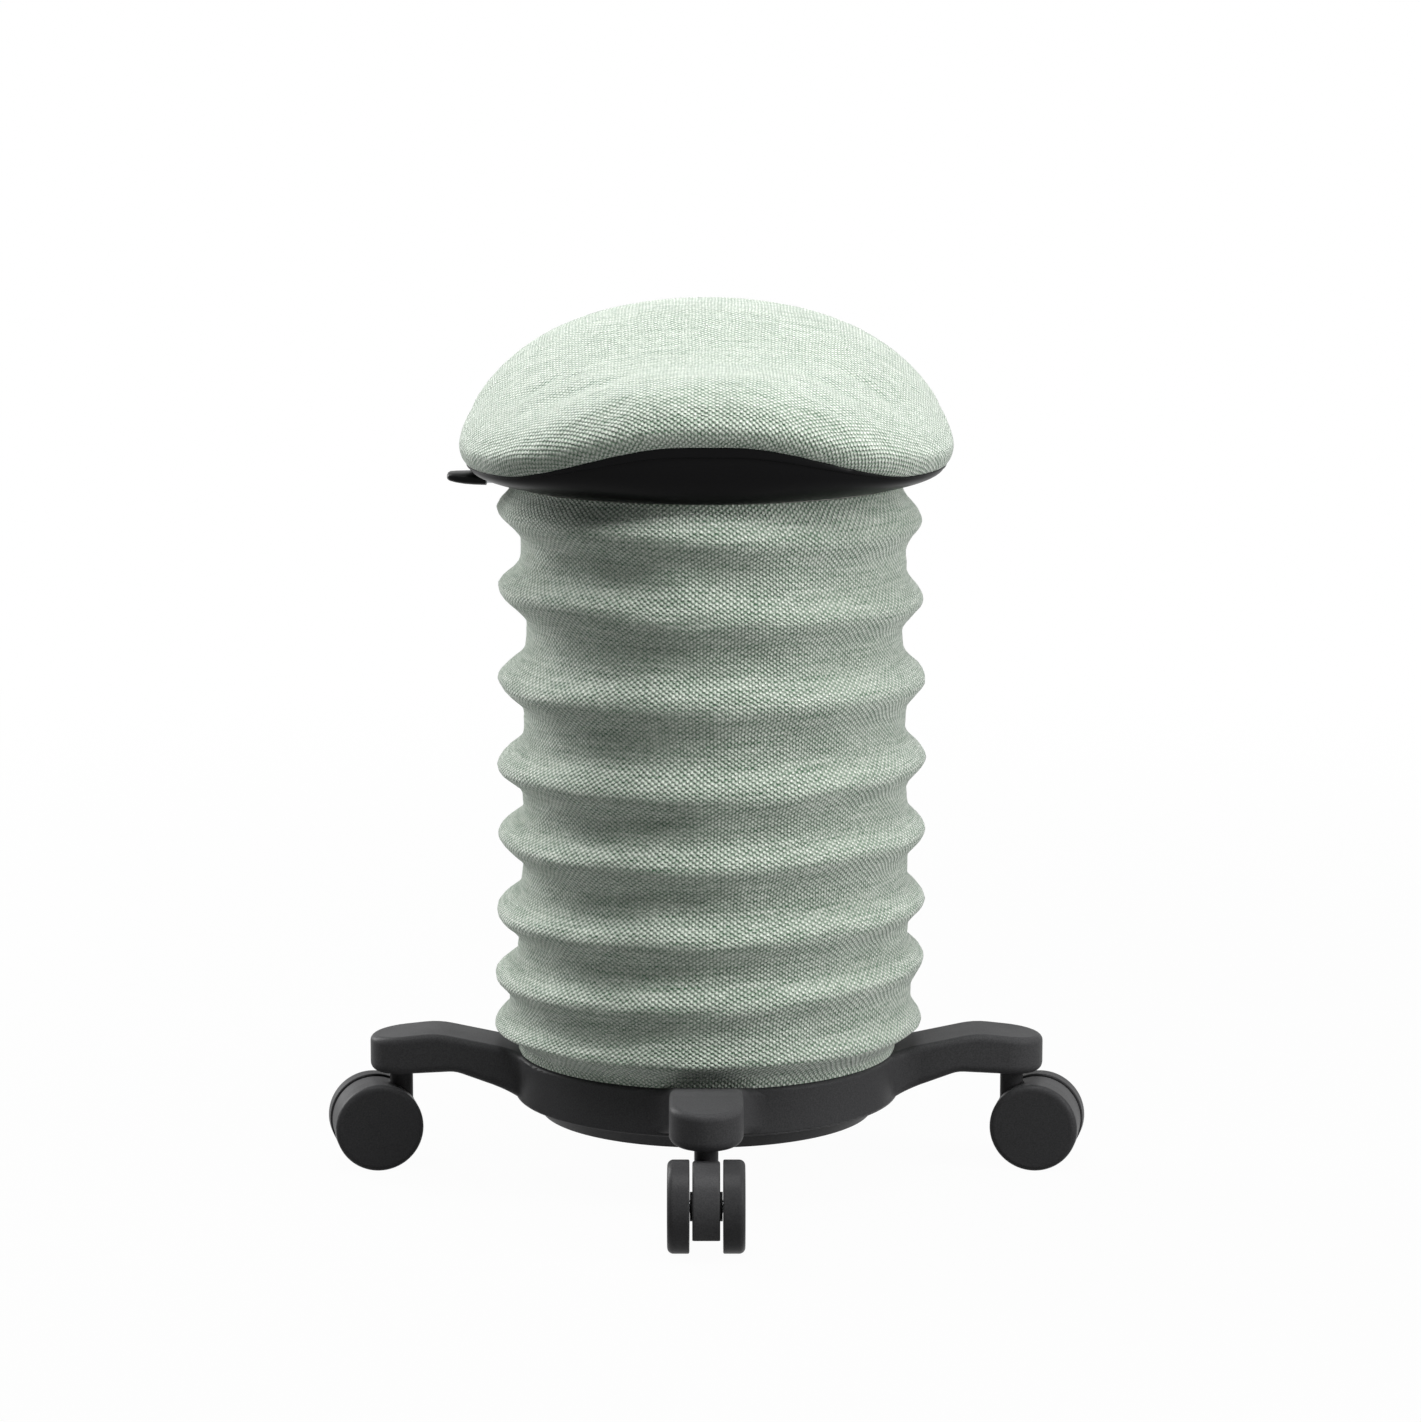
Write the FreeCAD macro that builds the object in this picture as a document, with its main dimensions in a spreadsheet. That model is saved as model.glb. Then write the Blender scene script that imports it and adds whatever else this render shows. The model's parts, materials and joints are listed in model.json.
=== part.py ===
"""Swivelling office stool with a gas lift, a fabric bellows sleeve and four twin-wheel casters.

Millimetres and degrees. The origin is on the floor under the column, +Z is up, the front faces -Y.
"""
import FreeCAD, Part
import math
import os
import re
import Sketcher

# Driving dimensions
SIZES = {
    # Fits
    "running_gap": 0.05,
    "fit_gap": 0.02,
    "seat_gap": 0.3,
    "cut_over": 1.0,
    # Casters
    "wheel_radius": 30.0,
    "wheel_width": 14.2,
    "wheel_edge_round": 4.0,
    "wheel_rim_wall": 5.5,
    "wheel_hub_radius": 9.4,
    "wheel_face_wall": 3.5,
    "wheel_recess": 8.0,
    "axle_radius": 4.0,
    "housing_width": 17.8,
    "housing_radius": 29.0,
    "housing_skirt": 16.0,
    "housing_round": 1.5,
    "wheel_side_gap": 1.9,
    "caster_trail": 18.0,
    "caster_swing": 11.0,
    "caster_play": 1.0,
    "stem_radius": 5.5,
    "stem_boss_radius": 7.8,
    "stem_chamfer": 1.2,
    "socket_wall": 1.5,
    "socket_depth": 23.0,
    "grip_height": 3.6,
    "grip_groove": 1.2,
    "grip_from_top": 5.0,
    # Base
    "arm_reach": 230.0,
    "stem_inset": 21.0,
    "arm_width": 48.0,
    "arm_flare": 22.0,
    "arm_clearance": 8.0,
    "arm_drop": 18.0,
    "arm_thickness": 27.0,
    "arm_kink": 171.0,
    "arm_crest": 184.0,
    "tip_droop": 3.0,
    "tip_fall": 5.0,
    "crest_round": 60.0,
    "kink_round": 22.0,
    "arm_top_round": 4.5,
    "arm_bottom_round": 6.0,
    "drum_radius": 131.0,
    "drum_height": 32.0,
    "drum_wall": 5.0,
    "drum_round": 2.5,
    "deck_thickness": 5.0,
    "lip_height": 3.0,
    "hub_radius": 36.0,
    "hub_height": 54.0,
    "hub_below": 4.0,
    "web_thickness": 5.0,
    "boss_radius": 5.0,
    "cover_screw_circle": 80.0,
    "cover_depth": 11.0,
    "cover_wall": 3.0,
    "cover_slope": 9.0,
    "cover_fit": 4.0,
    "cover_rim": 6.0,
    # Column
    "tube_radius": 25.0,
    "tube_wall": 2.0,
    "tube_taper": 0.8,
    "tube_length": 244.0,
    "tube_floor": 3.0,
    "rod_hole_gap": 1.2,
    "bush_length": 64.0,
    "bush_flange": 3.0,
    "race_radius": 15.0,
    "race_thickness": 2.0,
    "ball_radius": 2.0,
    "ball_circle": 11.0,
    "cage_thickness": 1.6,
    "cage_band": 2.8,
    "rod_radius": 5.0,
    "shoulder_radius": 7.5,
    "shoulder_height": 3.0,
    "clip_thickness": 2.0,
    "clip_groove": 1.5,
    "clip_radius": 8.5,
    "rod_tail": 0.9,
    "piston_length": 12.0,
    "piston_gap": 0.1,
    "lift_up": 50.0,
    "lift_stop": 7.0,
    "cylinder_radius": 14.0,
    "cylinder_wall": 2.0,
    "cylinder_overlap": 100.0,
    "cylinder_taper": 0.8,
    "cylinder_head": 32.0,
    "seal_length": 15.0,
    "valve_radius": 3.0,
    "valve_depth": 20.0,
    "valve_travel": 2.1,
    "valve_room": 0.9,
    "pin_proud": 2.2,
    # Sleeve
    "sleeve_height": 391.0,
    "sleeve_crest": 144.5,
    "sleeve_valley": 130.0,
    "sleeve_top_radius": 131.0,
    "sleeve_wall": 2.5,
    "fold_lean": 10.0,
    "crest_land": 12.0,
    "valley_land": 10.0,
    "hoop_wire": 1.5,
    "ring_band": 4.5,
    "ring_height": 4.7,
    "ring_play": 0.5,
    # Seat
    "shell_floor_radius": 132.0,
    "shell_hole_gap": 5.0,
    "shell_wall": 3.0,
    "seat_half_width": 160.5,
    "seat_half_depth": 150.0,
    "rim_above_floor": 15.0,
    "rim_rise_front": 24.0,
    "rim_rise_back": 30.0,
    "shell_boss_radius": 6.0,
    "shell_boss_circle": 93.0,
    "board_flat": 102.0,
    "board_above_floor": 22.0,
    "board_thickness": 8.0,
    "board_inset": 16.0,
    "board_edge_drop": 5.0,
    "cover_thickness": 2.0,
    "cover_tuck": 1.0,
    "cushion_bulge": 4.5,
    "bulge_height": 13.0,
    "crest_front": 83.0,
    "crest_back": 120.0,
    "crown_drop": 33.0,
    "crest_ramp_start": 100.0,
    "crest_ramp_length": 180.0,
    # Seat bracket and lever
    "plate_half": 65.0,
    "plate_thickness": 3.0,
    "plate_screw_offset": 52.0,
    "plate_corner": 12.0,
    "screw_radius": 2.5,
    "screw_head_radius": 4.5,
    "screw_head_height": 2.6,
    "screw_bite": 6.0,
    "cheek_inner": 9.0,
    "cheek_wall": 4.0,
    "cheek_half": 12.0,
    "socket_radius": 19.0,
    "socket_length": 57.0,
    "socket_short": 2.0,
    "lever_arm": 60.0,
    "lever_radius": 3.5,
    "lever_tail": 8.0,
    "lever_slot_gap": 2.0,
    "lever_eye_radius": 5.8,
    "lever_eye_half": 8.5,
    "lever_pin_radius": 3.0,
    "lever_pin_proud": 1.0,
    "lever_step": 7.0,
    "lever_slope": 24.0,
    "lever_run": 11.5,
    "lever_bend": 20.0,
    "lever_grip_depth": 14.0,
    "paddle_proud": 13.5,
    "paddle_length": 26.5,
    "paddle_width": 40.0,
    "paddle_thickness": 8.6,
    "paddle_droop": 2.6,
    "paddle_round": 3.4,
    "window_length": 54.5,
    "window_gap": 3.0,
    "window_depth": 11.5,
}

FOLDS = 8
FOLD_START = 0.82
FOLD_GROWTH = 0.2
TILT_PERIOD = 10
BALLS = 8
RING_ARCS = 12
PLAN_POWER = 2.5
CROWN_SHARES = (0.985, 0.95, 0.88, 0.76, 0.6, 0.4)
CAP_SHARE = 0.15
CROWN_POWER = 5
FLANK_OUT = 0.6
FLANK_UP = 0.45
RIM_TURN_START = 36.0
RIM_TURN_END = 84.0
SHELL_BOSS_ANGLES = (30.0, 150.0, 210.0, 330.0)
TOUCH = 1e-3
CASTER_TURNS = {"front": 0.0, "right": 90.0, "back": 180.0, "left": 270.0}

# Heights and radii that follow from the driving dimensions
DERIVED = {
    "kink_height": "2 * wheel_radius + arm_clearance",
    "caster_distance": "arm_reach - stem_inset",
    "tip_bottom": "kink_height - tip_droop",
    "crest_height": "kink_height + arm_thickness",
    "tip_top": "crest_height - tip_fall",
    "drum_bottom": "kink_height - arm_drop",
    "drum_top": "drum_bottom + drum_height",
    "deck_top": "drum_top - lip_height",
    "deck_bottom": "deck_top - deck_thickness",
    "wall_middle": "drum_radius - drum_wall / 2",
    "flare_start": "sqrt((drum_radius + arm_flare) ^ 2 - (arm_width / 2 + arm_flare) ^ 2)",
    "flare_side": "(arm_width / 2 + arm_flare) * drum_radius / (drum_radius + arm_flare)",
    "arm_root": "sqrt(wall_middle ^ 2 - flare_side ^ 2) - cut_over",
    "hub_bottom": "drum_bottom - hub_below",
    "hub_top": "hub_bottom + hub_height",
    "cover_bottom": "drum_bottom - cover_depth",
    "cover_radius": "drum_radius - drum_wall - cover_fit",
    "cover_top": "drum_bottom + cover_rim",
    "stem_bottom": "wheel_radius + axle_radius",
    "boss_top": "tip_bottom - caster_play",
    "socket_bottom": "tip_bottom + running_gap",
    "socket_top": "socket_bottom + socket_depth",
    "socket_inner": "stem_radius + running_gap",
    "socket_outer": "socket_inner + socket_wall",
    "stem_top": "socket_top - caster_play",
    "grip_top": "stem_top - grip_from_top",
    "tube_top": "hub_bottom + tube_length",
    "tube_bore": "tube_radius - tube_wall",
    "tube_floor_top": "hub_bottom + tube_floor",
    "rod_hole": "rod_radius + rod_hole_gap",
    "lower_race_top": "tube_floor_top + race_thickness",
    "upper_race_bottom": "lower_race_top + 2 * ball_radius + 2 * fit_gap",
    "shoulder_bottom": "upper_race_bottom + race_thickness",
    "shoulder_top": "shoulder_bottom + shoulder_height",
    "clip_top": "hub_bottom - seat_gap",
    "clip_bottom": "clip_top - clip_thickness",
    "cylinder_bottom": "tube_top - cylinder_overlap",
    "cylinder_bore": "cylinder_radius - cylinder_wall",
    "piston_bottom": "cylinder_bottom + lift_up + seal_length + lift_stop",
    "piston_top": "piston_bottom + piston_length",
    "shell_floor": "deck_top + sleeve_height",
    "board_bottom": "shell_floor + board_above_floor",
    "board_top": "board_bottom + board_thickness",
    "plate_bottom": "board_bottom - plate_thickness",
    "cheek_bottom": "shell_floor + shell_wall + seat_gap",
    "shell_hole": "socket_radius + shell_hole_gap",
    "lever_height": "shell_floor + shell_wall + lever_radius + seat_gap + screw_head_height",
    "cylinder_top": "lever_height - lever_radius - seat_gap - pin_proud",
    "socket_foot": "cylinder_top - socket_length",
    "taper_top": "cylinder_top - socket_short",
    "lever_slot_half": "lever_radius + lever_slot_gap",
    "paddle_height": "lever_height - lever_step",
    "paddle_tip": "seat_half_width + paddle_proud",
    "paddle_root": "paddle_tip - paddle_length",
    "lever_ankle": "paddle_root - lever_run",
    "lever_knee": "lever_ankle - lever_slope",
    "ring_bottom": "deck_top + seat_gap",
    "ring_top": "ring_bottom + ring_height",
    "lower_ring_radius": "drum_radius - drum_wall - ring_play",
    "upper_ring_radius": "sleeve_top_radius - sleeve_wall - seat_gap",
    "pin_half_length": "cheek_inner + cheek_wall + lever_pin_proud",
}

doc = FreeCAD.newDocument("stool")
sheet = doc.addObject("Spreadsheet::Sheet", "Sizes")
for row, (size_name, size_value) in enumerate(SIZES.items(), start=1):
    sheet.set(f"A{row}", size_name)
    sheet.set(f"B{row}", str(size_value))
    sheet.setAlias(f"B{row}", size_name)
doc.recompute()


def formula(text):
    """Write a size expression in terms of the sheet's cells alone."""
    def expand(match):
        word = match.group(0)
        if word in DERIVED:
            return "(" + formula(DERIVED[word]) + ")"
        return "Sizes." + word if word in SIZES else word
    return re.sub(r"[a-z_]+", expand, text)


def size(text):
    """The number that a size expression has now."""
    return float(sheet.evalExpression(formula(text)))


def vector(x, y, z):
    return FreeCAD.Vector(x, y, z)


def turned(angle, axis=(0, 0, 1), at=(0, 0, 0)):
    return FreeCAD.Placement(vector(*at), FreeCAD.Rotation(vector(*axis), angle))


def bind(feature, prop, text):
    feature.setExpression(prop, formula(text))


# Sketches and features shared by the pieces
def new_body(label):
    body = doc.addObject("PartDesign::Body", label)
    body.Label = label
    return body


def new_sketch(body, name, role):
    sketch = body.newObject("Sketcher::SketchObject", name)
    plane = [feature for feature in body.Origin.OriginFeatures if feature.Role == role][0]
    sketch.AttachmentSupport = [(plane, "")]
    sketch.MapMode = "FlatFace"
    return sketch


def pin_point(sketch, geometry, end, x, y):
    """Hold one end of a line, or a circle's centre, at a place given by two expressions."""
    for kind, text in (("DistanceX", x), ("DistanceY", y)):
        index = sketch.addConstraint(Sketcher.Constraint(kind, -1, 1, geometry, end, size(text)))
        sketch.setExpression(f"Constraints[{index}]", formula(text))


def outline(body, name, role, corners):
    """A closed sketch of straight edges through corners that are pairs of expressions."""
    sketch = new_sketch(body, name, role)
    points = [vector(size(x), size(y), 0) for x, y in corners]
    count = len(points)
    for index in range(count):
        sketch.addGeometry(Part.LineSegment(points[index], points[(index + 1) % count]), False)
    for index in range(count):
        sketch.addConstraint(Sketcher.Constraint("Coincident", index, 2, (index + 1) % count, 1))
    for index, (x, y) in enumerate(corners):
        pin_point(sketch, index, 1, x, y)
    return sketch


def circles(body, name, role, places, radius):
    """A sketch of equal circles at places that are pairs of expressions."""
    sketch = new_sketch(body, name, role)
    for index, (x, y) in enumerate(places):
        centre = vector(size(x), size(y), 0)
        sketch.addGeometry(Part.Circle(centre, vector(0, 0, 1), size(radius)), False)
        pin_point(sketch, index, 3, x, y)
        rule = sketch.addConstraint(Sketcher.Constraint("Radius", index, size(radius)))
        sketch.setExpression(f"Constraints[{rule}]", formula(radius))
    return sketch


def turn(body, sketch, axis="V_Axis", angle=360.0):
    feature = body.newObject("PartDesign::Revolution", sketch.Name + "_turn")
    feature.Profile = sketch
    feature.ReferenceAxis = (sketch, [axis])
    feature.Angle = angle
    doc.recompute()
    return feature


def extrude(body, kind, sketch, length, both_sides=True, backwards=False):
    """A Pad or Pocket of a sketch, by a length given by an expression."""
    feature = body.newObject("PartDesign::" + kind, sketch.Name + "_" + kind.lower())
    feature.Profile = sketch
    bind(feature, "Length", length)
    feature.Midplane = both_sides
    feature.Reversed = backwards
    doc.recompute()
    return feature


def round_edges(body, name, radius, test):
    """Round the edges of the body that pass a test."""
    base = body.Tip
    names = [f"Edge{i}" for i, edge in enumerate(base.Shape.Edges, start=1) if test(edge)]
    feature = body.newObject("PartDesign::Fillet", name)
    feature.Base = (base, names)
    bind(feature, "Radius", radius)
    doc.recompute()
    return feature


def turned_piece(label, corners, angle=360.0):
    """A round piece about the column's axis, from its half section as (radius, height)."""
    body = new_body(label)
    turn(body, outline(body, label + "_section", "XZ_Plane", corners), angle=angle)
    return body


def solid_feature(label, shape):
    feature = doc.addObject("Part::Feature", label)
    feature.Shape = shape
    feature.Label = label
    return feature


def copies(label, master, placements):
    """One node of equal separate solids."""
    moved = []
    for placement in placements:
        shape = master.Shape.copy()
        shape.Placement = placement.multiply(shape.Placement)
        moved.append(shape)
    return solid_feature(label, Part.makeCompound(moved))


def cylinder(name, radius, height, placement):
    piece = doc.addObject("Part::Cylinder", name)
    bind(piece, "Radius", radius)
    bind(piece, "Height", height)
    piece.Placement = placement
    return piece


def fused(label, pieces):
    result = doc.addObject("Part::MultiFuse", label)
    result.Shapes = pieces
    result.Label = label
    doc.recompute()
    return result


def cut(label, base, tools):
    tool = tools[0]
    if len(tools) > 1:
        tool = doc.addObject("Part::Compound", label + "_cuts")
        tool.Links = tools
    result = doc.addObject("Part::Cut", label)
    result.Base = base
    result.Tool = tool
    result.Label = label
    doc.recompute()
    return result


def screw(name, shank):
    """A pan-head screw that points up, with its head's upper face at height 0."""
    return turned_piece(name, [
        ("0", "-screw_head_height"), ("screw_head_radius", "-screw_head_height"),
        ("screw_head_radius", "0"), ("screw_radius", "0"), ("screw_radius", shank), ("0", shank)])


QUARTERS = [turned(90.0 * step) for step in range(4)]
DIAGONALS = [turned(45.0 + 90.0 * step) for step in range(4)]
nodes = []


# Base: a drum with four arms, a dish below it and the sockets for the casters
def base_drum():
    body = turned_piece("base_drum", [
        ("tube_radius - tube_taper + fit_gap", "hub_bottom"), ("hub_radius", "hub_bottom"),
        ("hub_radius", "deck_bottom"), ("drum_radius - drum_wall", "deck_bottom"),
        ("drum_radius - drum_wall", "drum_bottom"), ("drum_radius", "drum_bottom"),
        ("drum_radius", "drum_top"), ("drum_radius - drum_wall", "drum_top"),
        ("drum_radius - drum_wall", "deck_top"), ("hub_radius", "deck_top"),
        ("hub_radius", "hub_top"), ("tube_radius + fit_gap", "hub_top")])
    radius = size("drum_radius")
    round_edges(body, "drum_rounds", "drum_round",
                lambda edge: isinstance(edge.Curve, Part.Circle) and abs(edge.Curve.Radius - radius) < TOUCH)
    return body


def base_arm():
    """One arm along +X: its side view padded across, then trimmed to its plan, with rounded edges."""
    body = new_body("base_arm")
    side = outline(body, "arm_side", "XZ_Plane", [
        ("arm_root", "drum_bottom"), ("arm_kink", "kink_height"), ("arm_reach", "tip_bottom"),
        ("arm_reach", "tip_top"), ("arm_crest", "crest_height"), ("arm_root", "drum_top")])
    extrude(body, "Pad", side, "2 * flare_side + cut_over")
    across = [("arm_kink", "kink_round"), ("arm_crest", "crest_round")]
    for place, radius in across:
        round_edges(body, place + "_bend", radius,
                    lambda edge: all(abs(v.X - size(place)) < TOUCH for v in edge.Vertexes))
    trimmed = doc.addObject("Part::Common", "arm_trimmed")
    trimmed.Base = body
    trimmed.Tool = arm_plan()
    doc.recompute()
    return rounded_arm(trimmed)


def arm_plan():
    """The arm from above: a half-round tip, straight sides and a flare on each side into the drum."""
    tall = "crest_height + cut_over"
    blocks = []
    for name, length, width in (("arm_shank", "arm_reach - arm_width / 2", "arm_width"),
                                ("arm_foot", "flare_start", "2 * flare_side")):
        block = doc.addObject("Part::Box", name)
        bind(block, "Length", length)
        bind(block, "Width", width)
        bind(block, "Height", tall)
        block.Placement = turned(0.0, at=(0, -size(width) / 2, 0))
        blocks.append(block)
    tip = cylinder("arm_tip", "arm_width / 2", tall,
                   turned(0.0, at=(size("arm_reach - arm_width / 2"), 0, 0)))
    hollows = [cylinder("arm_inside", "wall_middle", tall, turned(0.0))]
    for side in (-1, 1):
        centre = (size("flare_start"), side * size("arm_width / 2 + arm_flare"), 0)
        hollows.append(cylinder("arm_hollow", "arm_flare", tall, turned(0.0, at=centre)))
    doc.recompute()
    return cut("arm_plan", fused("arm_blocks", blocks + [tip]), hollows)


def rounded_arm(trimmed):
    """Round the long upper and lower edges of an arm, which run from the drum round the tip."""
    half = size("arm_width / 2")
    flare = size("arm_flare")
    start = size("flare_start")
    middle = size("(kink_height + drum_top) / 2")
    bend = size("arm_reach - arm_width / 2")
    edges = []
    for index, edge in enumerate(trimmed.Shape.Edges, start=1):
        box = edge.BoundBox
        if box.XLength < TOUCH and box.YLength < TOUCH:
            continue
        point = edge.valueAt((edge.FirstParameter + edge.LastParameter) / 2)
        on_side = point.x > start and abs(abs(point.y) - half) < TOUCH
        on_tip = point.x > bend and abs(math.hypot(point.x - bend, point.y) - half) < TOUCH
        from_centre = math.hypot(point.x - start, abs(point.y) - half - flare)
        on_flare = point.x < start and abs(from_centre - flare) < TOUCH
        if on_side or on_tip or on_flare:
            radius = size("arm_top_round") if point.z > middle else size("arm_bottom_round")
            edges.append((index, radius, radius))
    rounded = doc.addObject("Part::Fillet", "arm_rounded")
    rounded.Base = trimmed
    rounded.Edges = edges
    doc.recompute()
    return rounded


def base_star():
    drum = base_drum()
    arms = copies("base_arms", base_arm(), QUARTERS)
    web = doc.addObject("Part::Box", "base_web")
    bind(web, "Length", "drum_radius - drum_wall / 2 - hub_radius + cut_over")
    bind(web, "Width", "web_thickness")
    bind(web, "Height", "deck_bottom - cover_top")
    web.Placement = turned(0.0, at=(size("hub_radius - cut_over"), -size("web_thickness / 2"),
                                    size("cover_top + cut_over")))
    boss = cylinder("base_boss", "boss_radius", "deck_bottom - cover_bottom - cover_wall + cut_over",
                    turned(0.0, at=(size("cover_screw_circle"), 0, size("cover_bottom + cover_wall"))))
    stem_hole = cylinder("base_stem_hole", "socket_outer", "socket_depth + tip_fall",
                         turned(0.0, at=(size("caster_distance"), 0, size("socket_bottom - tip_fall"))))
    screw_hole = cylinder("base_screw_hole", "screw_radius + fit_gap", "deck_bottom - cover_bottom",
                          turned(0.0, at=(size("cover_screw_circle"), 0, size("cover_bottom"))))
    doc.recompute()
    webs = copies("base_webs", web, QUARTERS)
    bosses = copies("base_bosses", boss, DIAGONALS)
    whole = fused("base_whole", [drum, arms, webs, bosses])
    stem_holes = copies("base_stem_holes", stem_hole, QUARTERS)
    screw_holes = copies("base_screw_holes", screw_hole, DIAGONALS)
    nodes.append(cut("base_star", whole, [stem_holes, screw_holes]))


def under_cover():
    dish = turned_piece("cover_dish", [
        ("0", "cover_bottom"), ("cover_radius - cover_slope", "cover_bottom"),
        ("cover_radius", "drum_bottom"), ("cover_radius", "cover_top"),
        ("cover_radius - cover_wall", "cover_top"),
        ("cover_radius - cover_wall", "drum_bottom"),
        ("cover_radius - cover_slope - cover_wall / 2", "cover_bottom + cover_wall"),
        ("0", "cover_bottom + cover_wall")])
    hole = cylinder("cover_hole", "screw_radius + fit_gap", "cover_wall * 3",
                    turned(0.0, at=(size("cover_screw_circle"), 0, size("cover_bottom - cover_wall"))))
    doc.recompute()
    holes = copies("cover_holes", hole, DIAGONALS)
    nodes.append(cut("under_cover", dish, [holes]))
    master = screw("cover_screw", "cover_wall + screw_bite * 2")
    seat = turned(0.0, at=(size("cover_screw_circle"), 0, size("cover_bottom")))
    nodes.append(copies("under_cover_screws", master, [place.multiply(seat) for place in DIAGONALS]))


def caster_sockets():
    master = turned_piece("caster_socket", [
        ("socket_inner", "socket_bottom"), ("socket_outer", "socket_bottom"),
        ("socket_outer", "socket_top"), ("socket_inner", "socket_top")])
    seat = turned(0.0, at=(size("caster_distance"), 0, 0))
    nodes.append(copies("caster_sockets", master, [place.multiply(seat) for place in QUARTERS]))


# Column: tube, guide bush, thrust bearing, rod and gas cylinder
def column():
    nodes.append(turned_piece("column_tube", [
        ("rod_hole", "hub_bottom"), ("tube_radius - tube_taper", "hub_bottom"), ("tube_radius", "hub_top"),
        ("tube_radius", "tube_top"), ("tube_bore", "tube_top"), ("tube_bore", "tube_floor_top"),
        ("rod_hole", "tube_floor_top")]))
    nodes.append(turned_piece("guide_bush", [
        ("cylinder_radius + running_gap", "tube_top - bush_length"),
        ("tube_bore - fit_gap", "tube_top - bush_length"), ("tube_bore - fit_gap", "tube_top"),
        ("tube_radius", "tube_top"), ("tube_radius", "tube_top + bush_flange"),
        ("cylinder_radius + running_gap", "tube_top + bush_flange")]))
    nodes.append(turned_piece("thrust_race_lower", [
        ("rod_hole", "tube_floor_top"), ("race_radius", "tube_floor_top"),
        ("race_radius", "lower_race_top"), ("rod_hole", "lower_race_top")]))
    nodes.append(turned_piece("thrust_race_upper", [
        ("rod_radius + fit_gap", "upper_race_bottom"), ("race_radius", "upper_race_bottom"),
        ("race_radius", "shoulder_bottom"), ("rod_radius + fit_gap", "shoulder_bottom")]))
    nodes.append(turned_piece("piston_rod", [
        ("0", "clip_bottom - rod_tail"), ("rod_radius", "clip_bottom - rod_tail"),
        ("rod_radius", "clip_bottom"),
        ("rod_radius - clip_groove", "clip_bottom"), ("rod_radius - clip_groove", "clip_top"),
        ("rod_radius", "clip_top"), ("rod_radius", "shoulder_bottom"), ("shoulder_radius", "shoulder_bottom"),
        ("shoulder_radius", "shoulder_top"), ("rod_radius", "shoulder_top"),
        ("rod_radius", "piston_top + fit_gap"), ("0", "piston_top + fit_gap")]))
    nodes.append(turned_piece("rod_clip", [
        ("rod_radius - clip_groove + fit_gap", "clip_bottom + fit_gap"),
        ("clip_radius", "clip_bottom + fit_gap"), ("clip_radius", "clip_top - fit_gap"),
        ("rod_radius - clip_groove + fit_gap", "clip_top - fit_gap")],
        angle=300.0))
    nodes.append(turned_piece("piston", [
        ("rod_radius + fit_gap", "piston_bottom"), ("cylinder_bore - piston_gap", "piston_bottom"),
        ("cylinder_bore - piston_gap", "piston_top"), ("rod_radius + fit_gap", "piston_top")]))
    valve_bore = "valve_radius + running_gap"
    nodes.append(turned_piece("gas_cylinder", [
        ("cylinder_bore", "cylinder_bottom"), ("cylinder_radius", "cylinder_bottom"),
        ("cylinder_radius", "socket_foot"), ("cylinder_radius - cylinder_taper", "cylinder_top"),
        (valve_bore, "cylinder_top"), (valve_bore, "cylinder_top - valve_depth"),
        ("0", "cylinder_top - valve_depth"), ("0", "cylinder_top - cylinder_head"),
        ("cylinder_bore", "cylinder_top - cylinder_head")]))
    nodes.append(turned_piece("rod_seal", [
        ("rod_radius + running_gap", "cylinder_bottom"), ("cylinder_bore - fit_gap", "cylinder_bottom"),
        ("cylinder_bore - fit_gap", "cylinder_bottom + seal_length"),
        ("rod_radius + running_gap", "cylinder_bottom + seal_length")]))
    nodes.append(turned_piece("valve_pin", [
        ("0", "cylinder_top - valve_depth + valve_travel + valve_room"),
        ("valve_radius", "cylinder_top - valve_depth + valve_travel + valve_room"),
        ("valve_radius", "cylinder_top + pin_proud"), ("0", "cylinder_top + pin_proud")]))


def thrust_ball_cage():
    middle = size("(lower_race_top + upper_race_bottom) / 2")
    radius = size("ball_radius")
    circle = size("ball_circle")
    half = size("cage_thickness / 2")
    outer = Part.makeCylinder(circle + size("cage_band"), 2 * half, vector(0, 0, middle - half))
    inner = Part.makeCylinder(circle - size("cage_band"), 2 * half, vector(0, 0, middle - half))
    centres = [turned(360.0 * step / BALLS).multVec(vector(circle, 0, middle)) for step in range(BALLS)]
    pockets = [Part.makeSphere(radius + size("running_gap"), centre) for centre in centres]
    balls = [Part.makeSphere(radius, centre) for centre in centres]
    nodes.append(solid_feature("thrust_ball_cage", Part.makeCompound([outer.cut([inner] + pockets)] + balls)))


# Sleeve: a bellows with hoops in its folds, held by a ring at each end
def fold_place(step):
    """Height and tilt of the sleeve's circle at a step counted in folds, half steps being crests."""
    share = step / FOLDS
    rise = share * (FOLD_START + FOLD_GROWTH * share)
    height = size("deck_top") + rise * size("sleeve_height")
    from_top = FOLDS - 0.5 - step
    drop = size("fold_lean") * math.cos(2 * math.pi * from_top / TILT_PERIOD)
    tilt = math.degrees(math.atan2(drop, 2 * size("sleeve_crest")))
    return height, tilt


def tilted_circle(radius, height, tilt):
    edge = Part.makeCircle(radius)
    edge.Placement = turned(tilt, (0, 1, 0), (0, 0, height))
    return Part.Wire([edge])


def sleeve_circles(inset):
    """Circles from the lower to the upper end: two at each crest and two at each valley between."""
    circles_up = [(size("lower_ring_radius"), size("ring_top"), 0.0)]
    for half_step in range(1, 2 * FOLDS):
        height, tilt = fold_place(half_step / 2)
        crest = half_step % 2 == 1
        radius = size("sleeve_crest") if crest else size("sleeve_valley")
        land = size("crest_land") if crest else size("valley_land")
        for offset in (-land / 2, land / 2):
            circles_up.append((radius, height + offset, tilt))
    circles_up.append((size("sleeve_top_radius"), size("shell_floor - seat_gap"), 0.0))
    return [tilted_circle(radius - inset, height, tilt) for radius, height, tilt in circles_up]


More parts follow.
